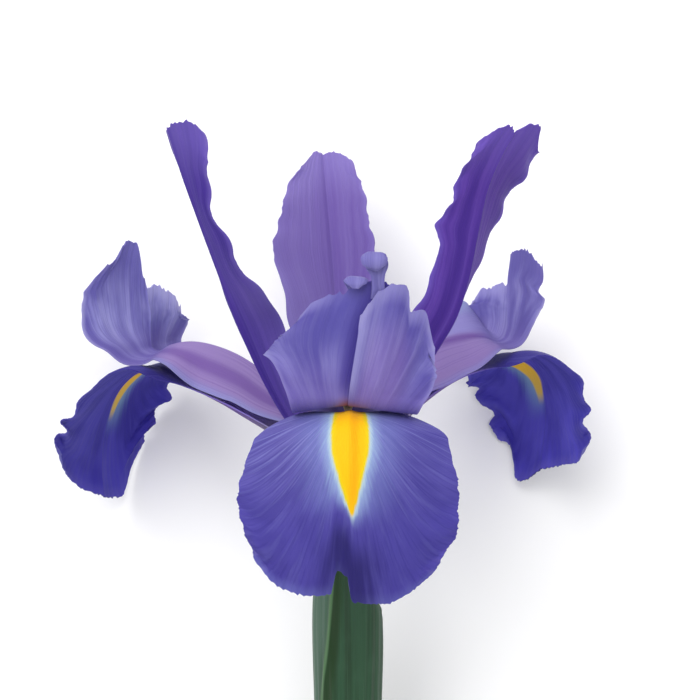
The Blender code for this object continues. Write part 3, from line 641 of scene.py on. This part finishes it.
def standard_material(name, seed, body, pale, dark, painted_light_until=0):
    """A standard: violet, with long veins, a darker middle and lighter margins and tip.

    The right side is painted paler, as painted light, up to the station that the last argument gives, and a
    band above the middle is painted darker, as painted shade."""
    graph = Graph(name)
    u, v = graph.across("petal")
    w, _ = graph.across("vein")
    fine = graph.streaks(w, v, 24, 1.3, seed, 3)
    threads = graph.streaks(w, v, 60, 2.0, seed + 4)
    broad = graph.streaks(w, v, 5, 1.2, seed + 2)
    side = graph.size(u)
    graph.ground = graph.mix(graph.rise(broad, 0.3, 0.68), dark, body)
    graph.paint(pale, graph.rise(fine, 0.52, 0.7), 0.18)
    graph.paint(dark, graph.rise(threads, 0.5, 0.34), 0.22)
    graph.paint(pale, graph.larger(graph.rise(side, 0.8, 1.0), graph.rise(v, 0.8, 1.0)), 0.55)
    graph.paint(dark, graph.rise(side, 0.16, 0.02), 0.35)
    if painted_light_until:
        # Painted light on the right side, and painted shade on a band above the middle.
        graph.paint(pale, graph.rise(u, -0.1, 0.7), graph.rise(v, painted_light_until + 0.1, painted_light_until - 0.1), 0.5)
        graph.paint(dark, graph.rise(v, 0.5, 0.65), graph.rise(v, 0.9, 0.75), 0.3)
    graph.paint((120, 118, 100), graph.rise(v, 0.14, 0.03, 0, 0.7))
    return petal_finish(graph, relief(graph, fine, threads))


def style_material(name, seed, fork, arm, crest, stripe=0, seam=False, cool=False, tall=0):
    """A style: a lilac arm with a violet stripe and pale margins, and bluer crests.

    arm and crest each list a dark, a middle and a light colour. stripe is where the stripe lies across the
    arm. seam says that the right crest lies over the left one: a painted shadow falls on the left crest
    beside the seam, the right crest's edge wears a painted highlight and a fold high on the left crest is
    painted shade; and that a warm reflection from the signal is painted at the fork. cool says that the right
    side of the arm is blue like the crests. tall is the side, 1 for right and -1 for left, of a crest that is
    darker at its tall tip."""
    graph = Graph(name)
    u, v = graph.across("petal")
    span, _ = graph.across("span")
    w, _ = graph.across("vein")
    fine = graph.streaks(w, v, 30, 1.8, seed, 3)
    threads = graph.streaks(w, v, 74, 2.4, seed + 4)
    patches = graph.streaks(w, v, 4, 3.5, seed + 2, 3)
    side = graph.size(u)

    graph.ground = graph.mix(graph.rise(side, 0.78, 1.0), arm[1], arm[2])
    graph.paint(arm[0], graph.rise(graph.size(graph.less(u, stripe)), 0.24, 0.05, 0, 0.8))
    graph.paint(arm[0], graph.rise(fine, 0.5, 0.36), 0.3)
    if cool:
        graph.paint(crest[1], graph.rise(u, 0.06, 0.25, 0, 0.9))
        graph.paint((140, 176, 214), graph.rise(u, 0.5, 1.0, 0, 0.7))
    arm_colour = graph.ground

    graph.ground = graph.mix(graph.rise(patches, 0.34, 0.64), crest[0], crest[1])
    graph.paint(crest[2], graph.rise(patches, 0.5, 0.75), 0.35)
    graph.paint(crest[2], graph.rise(fine, 0.52, 0.7), 0.16)
    graph.paint(crest[0], graph.rise(threads, 0.5, 0.36), 0.35)
    graph.paint(crest[2], graph.larger(graph.rise(v, 0.94, 1.0), graph.rise(side, 0.93, 1.0)), 0.5)
    graph.paint((108, 92, 160), graph.rise(v, fork + 0.16, fork, 0, 0.6))
    if tall:
        tall_side = graph.rise(graph.times(u, tall), -0.15, 0.1)
        graph.paint(crest[0], graph.rise(v, 0.84, 0.98, 0, 0.9), tall_side)
    if seam:
        upper = graph.rise(u, 0.0, 0.004)
        lower = graph.less(1, upper)
        apart = graph.rise(v, fork + 0.02, fork + 0.1)
        # Painted shade: a darker fold high on the left crest.
        graph.paint((76, 70, 146), graph.rise(u, -0.9, -0.4), lower, graph.rise(v, 0.76, 0.88), 0.85)
        rosy = graph.times(graph.rise(u, 0.02, 0.2), graph.rise(u, 0.8, 0.5))
        graph.paint((140, 112, 172), rosy, graph.rise(v, 0.95, 0.8), 0.3)
        # Painted shadow of the right crest on the left one beside the seam, and a painted highlight on the
        # right crest's edge.
        graph.paint((60, 46, 136), lower, graph.rise(u, -0.34, -0.02), apart, 0.75)
        graph.paint(crest[2], upper, graph.rise(u, 0.14, 0.01), apart, 0.7)

    graph.ground = graph.mix(graph.rise(v, fork - 0.07, fork + 0.03), arm_colour, graph.ground)
    # Painted reflection: warm light from the yellow signal on the middle of the arm just below the fork.
    if seam:
        middle = graph.rise(graph.size(span), 0.26, 0.04)
        below = graph.rise(v, fork + 0.05, fork, 0, 0.7)
        graph.paint((150, 88, 62), middle, below, graph.rise(v, fork - 0.06, fork - 0.02))
    return petal_finish(graph, relief(graph, fine, threads))


def green_graph(name, seed, light, middle, dark, ribs):
    """A green, ribbed surface, waxy in patches. The layer "round" runs round it and up it."""
    graph = Graph(name)
    around, up = graph.across("round")
    rib = graph.streaks(around, up, ribs, 1.0, seed)
    fibre = graph.streaks(around, up, 5 * ribs, 3, seed + 2, 3)
    mottle = graph.streaks(around, up, 5, 7, seed, 4)
    graph.ground = graph.mix(graph.rise(rib, 0.36, 0.64), dark, middle)
    graph.paint(light, graph.rise(fibre, 0.52, 0.7), 0.35)
    graph.paint(light, graph.rise(mottle, 0.5, 0.8), 0.3)
    graph.set("Roughness", graph.rise(fibre, 0.3, 0.7, 0.45, 0.6))
    graph.set("Specular IOR Level", 0.3)
    graph.bump(relief(graph, rib, fibre), 0.5, 0.0004)
    return graph


def spathe_material():
    """The green valve, with a light rim where its edge overlaps itself, partly its paler margin and partly
    painted highlight, a painted shadow beside it and bluish beyond.

    The layer "overlap" holds the distance from that edge, in centimetres."""
    graph = green_graph("spathe_fine", 3.0, (62, 98, 73), (38, 75, 50), (29, 60, 37), 14)
    beside, _ = graph.across("overlap")
    graph.paint((76, 104, 88), graph.rise(beside, 0.02, -0.16), 0.75)
    # Painted shadow that the overlapping edge casts beside it.
    graph.paint((22, 52, 16), graph.rise(beside, 0.0, 0.03), graph.rise(beside, 0.24, 0.1), 0.85)
    # The light rim at the edge: partly the valve's paler margin, partly painted highlight.
    graph.paint((82, 118, 78), graph.rise(beside, -0.06, -0.01), graph.rise(beside, 0.03, 0.0), 0.8)
    return graph.done()


def stamen_material():
    """A pale violet thread and a buff anther dusted with pollen."""
    graph = Graph("stamen_fine")
    _, v = graph.across("round")
    grain = graph.noise(graph.place(), 2500, 3)
    graph.ground = graph.mix(grain, (176, 164, 204), (150, 132, 190))
    anther = graph.mix(graph.rise(grain, 0.35, 0.65), (168, 140, 96), (204, 182, 128))
    graph.paint(anther, graph.rise(v, ANTHER_START - 0.02, ANTHER_START + 0.03))
    graph.set("Roughness", 0.75)
    graph.bump(grain, 0.6, 0.0003)
    return graph.done()


# ---- Fine petals ----

# The same numbers as in the solids: waves along a margin, the two halves' difference of phase, the stations
# between which teeth grow, and the stations from which the crown cuts a crest's tip or any other.
RUFFLES = 7
TEETH = 13
HALF_PHASE = 1.9
TEETH_START = 0.5
TEETH_FULL = 0.65
CREST_CUT = 0.72
TIP_CUT = 0.6

# The fine sheets' own numbers: how soft the midrib's ridge is, how close the rows lie at the tip, half of the
# thickness, and the height of the finest veins.
RIDGE_SOFTNESS = 0.05
TIP_CROWDING = 1.3
PETAL_HALF = 0.25
SPATHE_HALF = 0.3
VEIN_HEIGHT = 0.04

# Edges that bend by this many degrees or more stay sharp.
SHEET_SHARPNESS = 60
TURNED_SHARPNESS = 50

# Waves that nibble a margin: cycles and depth at the tip, in stations, and along the sides, in millimetres.
FALL_EDGE = {"tip_pitches": (23, 41), "tip_depth": 0.007, "side_pitches": (34, 55), "side_depth": 0.35,
             "from": 0.6}
STANDARD_EDGE = {"tip_pitches": (6, 11), "tip_depth": 0.01, "side_pitches": (12, 21), "side_depth": 0.35,
                 "from": 0.5}
STYLE_EDGE = {"tip_pitches": (7, 13), "tip_depth": 0.016, "side_pitches": (9, 15), "side_depth": 0.4,
              "from": 0.72}
# Notches in the tip of the front style's crests, right (1) or left (-1): where across, breadth, depth.
NOTCHES = [(1, 0.6, 0.06, 0.022), (1, 0, 0.13, 0.055), (-1, 0.46, 0.05, 0.01)]


def bell(x, breadth):
    """1 at 0, and fading smoothly to both sides."""
    return np.exp(-((x / breadth) ** 2))


def layers(**pairs):
    """UV layers, each from its two coordinates."""
    return {name: np.stack(pair, -1) for name, pair in pairs.items()}


def ragged(along, pitches, phase):
    """An uneven line of teeth, 0 to 1, from waves of the given numbers of cycles that disturb each other."""
    total = 0
    for order, cycles in enumerate(pitches):
        wander = 1.2 * np.sin(2 * math.pi * along * cycles * 0.31 + phase * (order + 1.7))
        total = total + np.abs(np.sin(math.pi * along * cycles + wander + phase * (order + 1))) / len(pitches)
    return total


def softened(share, softness=RIDGE_SOFTNESS):
    """The share of the half width that lies between the midrib and u, which the soft ridge makes smaller."""
    return np.sign(share) * (np.sqrt(share**2 + softness**2) - softness)


def petal_points(petal, azimuth, u, v, right, edge, notches=()):
    """Points of a petal's middle surface, and its half width there."""
    side = np.where(right, 1.0, -1.0)
    share = np.abs(u)
    fork = petal.get("fork", 1.0)
    forks = fork < 1
    phase = petal.get("ruffle_phase", 0) + HALF_PHASE * right
    station = v - through_sides(petal["crown"], share, right) * rise(CREST_CUT if forks else TIP_CUT, 1, v)
    nibbles = ragged(0.5 + 0.5 * u, edge["tip_pitches"], phase)
    station = station - nibbles * edge["tip_depth"] * rise(0.88, 1, v)
    for notch_side, middle, breadth, depth in notches:
        station = station - (side == notch_side) * depth * bell(share - middle, breadth) * rise(0.86, 1, v)
    midrib = Midrib(azimuth, petal["midrib"], petal.get("twist", ((0, 0), (1, 0))))
    point, across, inward = midrib.at(station)

    width = through_sides(petal["width"], v, right)
    teeth = np.sin(2 * math.pi * TEETH * v + phase) * rise(TEETH_START, TEETH_FULL, v)
    width = width + petal.get("teeth", 0) * teeth
    bites = ragged(v, edge["side_pitches"], phase) * rise(edge["from"], edge["from"] + 0.1, v)
    width = width - bites * edge["side_depth"] * rise(0.5, 1, share)
    share = softened(share, RIDGE_SOFTNESS * (1 - rise(fork - 0.06, fork, v)) if forks else RIDGE_SOFTNESS)
    start = np.radians(through_sides(petal["fold"], station, right))
    curl = np.radians(through_sides(petal.get("curl", STYLE_CURL), station, right))
    curl = np.where(np.abs(curl) < 1e-4, 1e-4, curl)
    end = start + curl * share
    sideways = width * (np.sin(end) - np.sin(start)) / curl
    lift = width * (np.cos(start) - np.cos(end)) / curl
    if forks:
        sideways = sideways + (v > fork) * through_sides(petal["crest_gap"], v, right)
        lift = lift + (v > fork) * through_sides(petal["crest_lift"], v, right)
    else:
        ruffle = through_sides(petal["ruffle"], v, right) * np.sin(2 * math.pi * RUFFLES * v + phase)
        lift = lift + ruffle * share**3
    return point + across * (side * sideways)[..., None] + inward * lift[..., None], width


def fanned(u, v, start, spread):
    """Which vein a point lies on: veins run side by side up to start, then fan out and end at the margin."""
    return u / (1 + spread * np.clip((v - start) / (1 - start), 0, 1) ** 1.1)


def tapered(half, from_side, tip_loss):
    """A rule for half of the thickness: full in the middle, thinner at the margins and the tip."""
    return lambda u, v: half * (1 - 0.6 * rise(from_side, 1, np.abs(u))) * (1 - tip_loss * rise(0.85, 1, v))


petal_sheet = tapered(PETAL_HALF, 0.6, 0.5)
spathe_sheet = tapered(SPATHE_HALF, 0.75, 0.4)


def stand_for(piece, node):
    """piece rides on the one body and hides its CAD node."""
    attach(piece, "root")
    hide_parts(node)


def add_piece(node, suffix, points, faces, uv, looks, slots=None, sharp=None):
    """A fine piece in place of a CAD node, from points of the flower's frame and UV layers, a row a point.

    slots says which of looks each face wears. Edges that bend by sharp degrees or more stay sharp."""
    mesh = bpy.data.meshes.new(f"{node}_{suffix}")
    mesh.from_pydata(world(points).tolist(), [], faces)
    corners = np.empty(len(mesh.loops), int)
    mesh.loops.foreach_get("vertex_index", corners)
    for name, values in uv.items():
        mesh.uv_layers.new(name=name).uv.foreach_set("vector", values[corners].astype(np.float32).ravel())
    for look in looks:
        mesh.materials.append(look)
    if slots is not None:
        mesh.polygons.foreach_set("material_index", slots)
    mesh.shade_smooth()
    if sharp:
        mesh.set_sharp_from_angle(angle=math.radians(sharp))
    piece = bpy.data.objects.new(mesh.name, mesh)
    bpy.context.scene.collection.objects.link(piece)
    stand_for(piece, node)


def shell(node, suffix, grids, place, half_thickness, looks, weld=None):
    """A closed thin shell round the middle surface that place(u, v, right) gives on one or two grids.

    place returns points, the UV layers, and the relief of both faces. The upper face takes the first of looks
    and the lower face the last. weld says up to which v the two grids share their seam."""
    upper, lower, quads, uv = [], [], [], {}
    count, seam = 0, None
    for columns, rows, low, high in grids:
        u, v = np.meshgrid(np.linspace(low, high, columns + 1), np.linspace(0, 1, rows + 1))
        v = 1 - (1 - v) ** TIP_CROWDING
        points, coordinates, relief_up, relief_down = place(u, v, (u > 0) | (low >= 0))
        normal = np.cross(np.gradient(points, axis=0), np.gradient(points, axis=1))
        normal /= np.linalg.norm(normal, axis=2)[..., None]
        half = half_thickness(u, v)
        upper.append((points + normal * (half + relief_up)[..., None]).reshape(-1, 3))
        lower.append((points - normal * (half + relief_down)[..., None]).reshape(-1, 3))
        for name, values in coordinates.items():
            uv.setdefault(name, []).append(values.reshape(-1, 2))
        index = count + np.arange(u.size).reshape(u.shape)
        if seam is not None:
            index[:, 0] = np.where(v[:, 0] <= weld, seam, index[:, 0])
        seam = index[:, -1]
        count += u.size
        quads.append(np.stack((index[:-1, :-1], index[1:, :-1], index[1:, 1:], index[:-1, 1:]), -1))
    quads = np.concatenate([block.reshape(-1, 4) for block in quads])
    starts = quads.ravel()
    ends = np.roll(quads, -1, axis=1).ravel()
    rim = ~np.isin(starts * count + ends, ends * count + starts)
    first, second = starts[rim], ends[rim]
    walls = np.stack([second, first, first + count, second + count], -1)
    faces = np.concatenate([quads, quads[:, ::-1] + count, walls])
    used = np.unique(faces)
    compact = np.zeros(2 * count, int)
    compact[used] = np.arange(len(used))
    uv = {name: np.tile(np.concatenate(values), (2, 1))[used] for name, values in uv.items()}
    points = np.concatenate(upper + lower)[used]
    slots = np.zeros(len(faces), np.int32)
    slots[len(quads):2 * len(quads)] = len(looks) - 1
    add_piece(node, suffix, points, compact[faces].tolist(), uv, looks, slots, SHEET_SHARPNESS)


# Where a fall's veins begin to fan out, how far the fan reaches, in millimetres, and how it opens.
FAN_FOOT = 0.48
FAN_SCALE = 25
FAN_OPENING = 1.1


def fall_veins(u, v, x, length):
    """Which vein a point of a fall lies on, and how far it is, in centimetres, from the fan's foot."""
    along = np.maximum((v - FAN_FOOT) * length, 1.2)
    spread = 2 / math.pi * np.arctan(x / (FAN_SCALE * (along / FAN_SCALE) ** FAN_OPENING))
    w = u + (spread - u) * rise(FAN_FOOT - 0.04, FAN_FOOT + 0.03, v)
    return w, np.hypot(x, along) / MM_A_CM


def make_fall(side, looks):
    petal = FALLS[side]
    azimuth = FALL_AZIMUTHS[side]
    length = np.linalg.norm(np.diff(Midrib(azimuth, petal["midrib"]).point, axis=0), axis=1).sum()

    def place(u, v, right):
        points, width = petal_points(petal, azimuth, u, v, right, FALL_EDGE)
        x = softened(u) * width
        w, reach = fall_veins(u, v, x, length)
        veins = VEIN_HEIGHT * np.cos(2 * math.pi * 34 * w + 3 * np.sin(5 * w)) * rise(0.5, 0.62, v)
        swell = np.sin(2 * math.pi * 3.3 * w + 1.3) + 0.6 * np.sin(2 * math.pi * 7.1 * w + 0.4)
        folds = 0.09 * swell * rise(0.62, 0.95, v) * rise(0.1, 0.5, np.abs(u))
        signal = 0.4 * bell(x - SIGNAL_SHIFT, 1.1) * rise(0.3, 0.45, v) * (1 - rise(0.66, 0.77, v))
        crease = -0.4 * bell(x, 2.2) * rise(0.82, 0.96, v)
        uv = layers(petal=(u, v), span=(x / MM_A_CM, v), vein=(w, reach))
        return points, uv, veins + folds + signal + crease, veins - folds - crease

    shell(f"fall_{side}", "petal", [(96, 192, -1, 1)], place, petal_sheet, looks)


def make_standard(side, look):
    petal = STANDARDS[side]

    def place(u, v, right):
        points, width = petal_points(petal, STANDARD_AZIMUTHS[side], u, v, right, STANDARD_EDGE)
        w = fanned(u, v, 0.35, 0.8)
        veins = VEIN_HEIGHT * np.cos(2 * math.pi * 12 * w) * rise(0.2, 0.4, v)
        ridge = 0.25 * bell(u * width, 0.7)
        uv = layers(petal=(u, v), span=(u * width / MM_A_CM, v), vein=(w, v))
        return points, uv, veins - ridge, veins + ridge

    shell(f"standard_{side}", "petal", [(48, 150, -1, 1)], place, petal_sheet, [look])


# How high the folds of a style's crests rise.
FOLD_DEPTH = {"front": 0.2, "left": 0.13, "right": 0.13}

# Small curls at the inner top of the front style's left crest: midrib and half widths, as for a petal.
CURLS = {
    "tip": ([(42.3, 5.4, 39.5), (42.5, 5.3, 42), (42.8, 5.2, 44.4), (43.2, 4.9, 46.8), (44.2, 4.7, 47.7),
             (45.1, 4.6, 46.8), (45, 4.6, 45.2), (44.2, 4.6, 44.6)],
            [(0, 1.4), (0.22, 1.1), (0.34, 1.3), (0.44, 1.9), (0.52, 1.9), (0.58, 1.5), (0.66, 1.9),
             (0.8, 2.3), (0.92, 1.8), (1, 0.9)]),
    "rim": ([(40, 1.4, 38.5), (40.6, 1.4, 41), (41.7, 1.4, 42.9), (43.1, 1.4, 43.2), (44.1, 1.4, 42.3),
             (44.1, 1.4, 41.4)],
            [(0, 0.6), (0.3, 1.4), (0.5, 2), (0.7, 2.1), (0.9, 1.6), (1, 0.6)]),
}


def make_curl(name, look):
    keys, widths = CURLS[name]
    midrib = Midrib(FALL_AZIMUTHS["front"], keys)

    def place(u, v, right):
        point, across, inward = midrib.at(v)
        width = through(widths, v)
        lift = -0.3 * u**2 * width + 0.1 * np.sin(4 * u + 6 * v)
        points = point + across * (u * width)[..., None] + inward * lift[..., None]
        # The colours of the crest's own tip, away from its seam.
        near_tip = (0.5 + 0.3 * u, np.full_like(v, 0.96))
        uv = layers(petal=near_tip, span=(1 + u, v), vein=(0.15 * u, 0.7 + 0.2 * v))
        return points, uv, 0 * u, 0 * u

    shell("style_front", f"{name}_curl", [(24, 60, -1, 1)], place, petal_sheet, [look])


def make_style(side, look):
    petal = STYLES[side]
    fork = petal["fork"]
    notches = NOTCHES if side == "front" else ()

    def place(u, v, right):
        points, width = petal_points(petal, FALL_AZIMUTHS[side], u, v, right, STYLE_EDGE, notches)
        w = fanned(u, v, fork - 0.08, 0.9)
        crest = rise(fork, fork + 0.14, v)
        lean = 0.5 * np.sin(4 * v + 2 * right)
        swell = np.sin(2 * math.pi * 2.1 * w + 1.1 * right + lean)
        swell = swell + 0.55 * np.sin(2 * math.pi * 5.3 * w + 4 * v)
        folds = FOLD_DEPTH[side] * swell * crest
        veins = VEIN_HEIGHT * np.cos(2 * math.pi * 19 * w + 2 * np.sin(9 * w)) * crest
        uv = layers(petal=(u, v), span=(u * width / MM_A_CM, v), vein=(w, v))
        return points, uv, veins + folds, veins - folds

    grids = [(44, 170, -1, 0), (44, 170, 0, 1)]
    shell(f"style_{side}", "branch", grids, place, petal_sheet, [look], weld=fork)


# The outer valve's edge laps over itself along this line, (height, distance to the right), in front.
OVERLAP = [(-68, -4.7), (-50, -4.7), (-40, -4.4), (-30, -3.4), (-18, -2.6), (-13, -2.4)]
# Away from the front, a point counts as this far, in millimetres, from that line.
AWAY = 20


def make_spathe(side, look):
    spathe = SPATHES[side]
    heights, radii, wraps = np.array(spathe["valve"], float).T
    stations = (heights - heights[0]) / (heights[-1] - heights[0])

    def place(u, v, right):
        turn = u * through(np.column_stack([stations, wraps]), v)
        radius = through(np.column_stack([stations, radii]), v) + spathe["keel"] * bell(turn, KEEL_WIDTH)
        angle = np.radians(spathe["azimuth"] + turn)
        height = heights[0] + (heights[-1] - heights[0]) * v
        points = np.stack([radius * np.sin(angle), -radius * np.cos(angle), height], -1)
        ribs = 0.06 * np.cos(np.radians(turn) * 22)
        beside = points[..., 0] - through(OVERLAP, height)
        in_front = (side == "outer") * rise(0, 2, -points[..., 1])
        rim = (0.3 * bell(beside, 0.5) - 0.2 * bell(beside - 1.6, 1.2)) * in_front
        beside = np.where(in_front > 0, beside, AWAY)
        return points, layers(round=(turn / 180, v), overlap=(beside / MM_A_CM, v)), -ribs, ribs + rim

    shell(f"spathe_{side}", "valve", [(160, 90, -1, 1)], place, spathe_sheet, [look])


# ---- Stem, ovary and stamens ----


def turned(node, suffix, outline, look, section, columns=96):
    """A closed turned piece: outline lists (radius, height) and section(angle, height) scales the radius."""
    radii, heights = np.array(outline, float).T
    angle, row = np.meshgrid(np.linspace(0, 2 * math.pi, columns, endpoint=False), np.arange(len(radii)))
    radius = radii[row] * section(angle, heights[row])
    points = np.stack([radius * np.sin(angle), -radius * np.cos(angle), heights[row]], -1)
    index = np.arange(row.size).reshape(row.shape)
    after = np.roll(index, -1, axis=1)
    faces = np.stack([index[1:], after[1:], after[:-1], index[:-1]], -1).reshape(-1, 4).tolist()
    faces += [index[0].tolist(), index[-1][::-1].tolist()]
    run = (heights[row] - heights.min()) / (heights.max() - heights.min())
    uv = {"round": np.stack([np.sin(angle) * 0.5, run], -1).reshape(-1, 2)}
    add_piece(node, suffix, points.reshape(-1, 3), faces, uv, [look], sharp=TURNED_SHARPNESS)


def make_stem(look):
    """A ribbed stalk that tapers a little, with a bevelled cut end."""
    end = STEM_RADIUS
    outline = [(0.3, STEM_END + 0.5), (1.2, STEM_END + 0.15), (end - 0.5, STEM_END)]
    outline += [(end - 0.1, STEM_END + 0.15), (end, STEM_END + 0.6)]
    for share in np.linspace(0.02, 1, 60):
        outline.append((end - 0.1 * end * share, STEM_END + 0.6 + (STEM_TOP - STEM_END - 0.6) * share))
    turned("stem", "stalk", outline, look, lambda angle, height: 1 - 0.012 * (1 + np.cos(18 * angle)))


def make_ovary(look):
    """A three-cornered ovary on its stalk."""
    heights = np.linspace(0, STEM_TOP + OVARY_GAP, 80)
    corners = np.array(OVARY_PROFILE[1:-1], float)
    radii = np.interp(-heights, -corners[:, 1], corners[:, 0])

    def section(angle, height):
        swelling = rise(-6, -10, height) * (1 - rise(-26, -31, height))
        return 1 - swelling * 0.09 * (1 - np.cos(3 * angle)) - swelling * 0.02 * (1 + np.cos(6 * angle))

    turned("ovary", "tube", list(zip(radii, heights)), look, section)


def make_stamen(side, look):
    """A flat thread and an anther of two sacs with a groove between them."""
    midrib = Midrib(FALL_AZIMUTHS[side], STAMENS[side])
    stations = np.concatenate([np.linspace(0, ANTHER_START, 30), np.linspace(ANTHER_START, 1, 50)[1:]])
    centre, across, inward = (rows[:, None] for rows in midrib.at(stations))
    swell = np.clip((stations - ANTHER_START) / (1 - ANTHER_START), 0, 1)
    sac = np.sin(np.pi * swell)[:, None] ** 0.5
    angle = np.linspace(0, 2 * math.pi, 32, endpoint=False)
    groove = 1 - 0.35 * sac * bell(np.cos(angle), 0.3)
    wide = np.maximum(0.42, 0.9 * sac) * np.cos(angle) * groove
    deep = np.maximum(0.25, 0.62 * sac) * np.sin(angle) * groove
    points = centre + across * wide[..., None] + inward * deep[..., None]
    index = np.arange(wide.size).reshape(wide.shape)
    after = np.roll(index, -1, axis=1)
    faces = np.stack([index[:-1], index[1:], after[1:], after[:-1]], -1).reshape(-1, 4).tolist()
    faces += [index[0].tolist(), index[-1][::-1].tolist()]
    uv = {"round": np.stack(np.meshgrid(np.sin(angle) * 0.5, stations), -1).reshape(-1, 2)}
    add_piece(f"stamen_{side}", "thread", points.reshape(-1, 3), faces, uv, [look])


# ---- The flower's colours ----

# Upper face of a fall: blade, its lower part, deeper partly in colour and partly as painted shade, its veins.
# Lower face: blade, veins, where the stripe lies.
FALL_FACES = {
    "front": ("fall_front_face", 1.0, (93, 87, 157), (72, 64, 148), (52, 44, 124), 0.4),
    "side": ("fall_side_face", 9.0, (60, 52, 140), (66, 58, 148), (44, 36, 120), 0.6),
}
FALL_BACKS = {
    "front": ((66, 60, 160), (50, 42, 138), (0.3, 0.7)),
    "left": ((64, 56, 164), (48, 40, 144), (-2.6, -0.9)),
    "right": ((76, 68, 178), (60, 52, 158), (5.0, 1.2)),
}
# A standard: body, pale and dark, and up to where its right side is painted paler, as painted light.
STANDARD_COLOURS = {
    "left": ((78, 54, 150), (108, 92, 168), (54, 34, 126), 0.6),
    "right": ((86, 56, 148), (108, 88, 176), (62, 36, 126)),
    "back": ((116, 98, 166), (136, 122, 188), (102, 80, 154), 1),
}
# A style: dark, middle and light of the arm, then of the crests.
STYLE_COLOURS = {
    "front": (((90, 72, 150), (110, 94, 160), (110, 104, 170)),
              ((80, 72, 146), (106, 100, 166), (146, 142, 194))),
    "left": (((110, 80, 152), (142, 120, 176), (136, 134, 190)),
             ((100, 94, 164), (148, 146, 202), (184, 182, 224))),
    "right": (((100, 68, 146), (138, 116, 175), (132, 124, 184)),
              ((100, 92, 162), (134, 128, 190), (172, 168, 216))),
}
STYLE_MARKS = {
    "front": {"seam": True},
    "left": {"stripe": 0.5, "tall": 1},
    "right": {"cool": True, "tall": -1},
}


def main():
    add_camera()
    add_studio()
    faces = {side: fall_material(*colours) for side, colours in FALL_FACES.items()}
    for seed, side in enumerate(FALLS):
        back = fall_back_material(f"fall_{side}_back", 4.0 + seed, *FALL_BACKS[side])
        make_fall(side, [faces["front" if side == "front" else "side"], back])
    for seed, side in enumerate(STANDARDS):
        make_standard(side, standard_material(f"standard_{side}_fine", 2.0 + seed, *STANDARD_COLOURS[side]))
    for seed, side in enumerate(STYLES):
        colours, marks = STYLE_COLOURS[side], STYLE_MARKS[side]
        look = style_material(f"style_{side}_fine", 5.0 + seed, STYLES[side]["fork"], *colours, **marks)
        make_style(side, look)
        if side == "front":
            for name in CURLS:
                make_curl(name, look)
    spathe = spathe_material()
    for side in SPATHES:
        make_spathe(side, spathe)
    make_stem(green_graph("stem_fine", 5.0, (112, 150, 96), (70, 112, 66), (52, 90, 48), 12).done())
    make_ovary(green_graph("ovary_fine", 7.0, (120, 160, 96), (84, 132, 70), (62, 108, 54), 10).done())
    stamen = stamen_material()
    for side in STAMENS:
        make_stamen(side, stamen)


main()
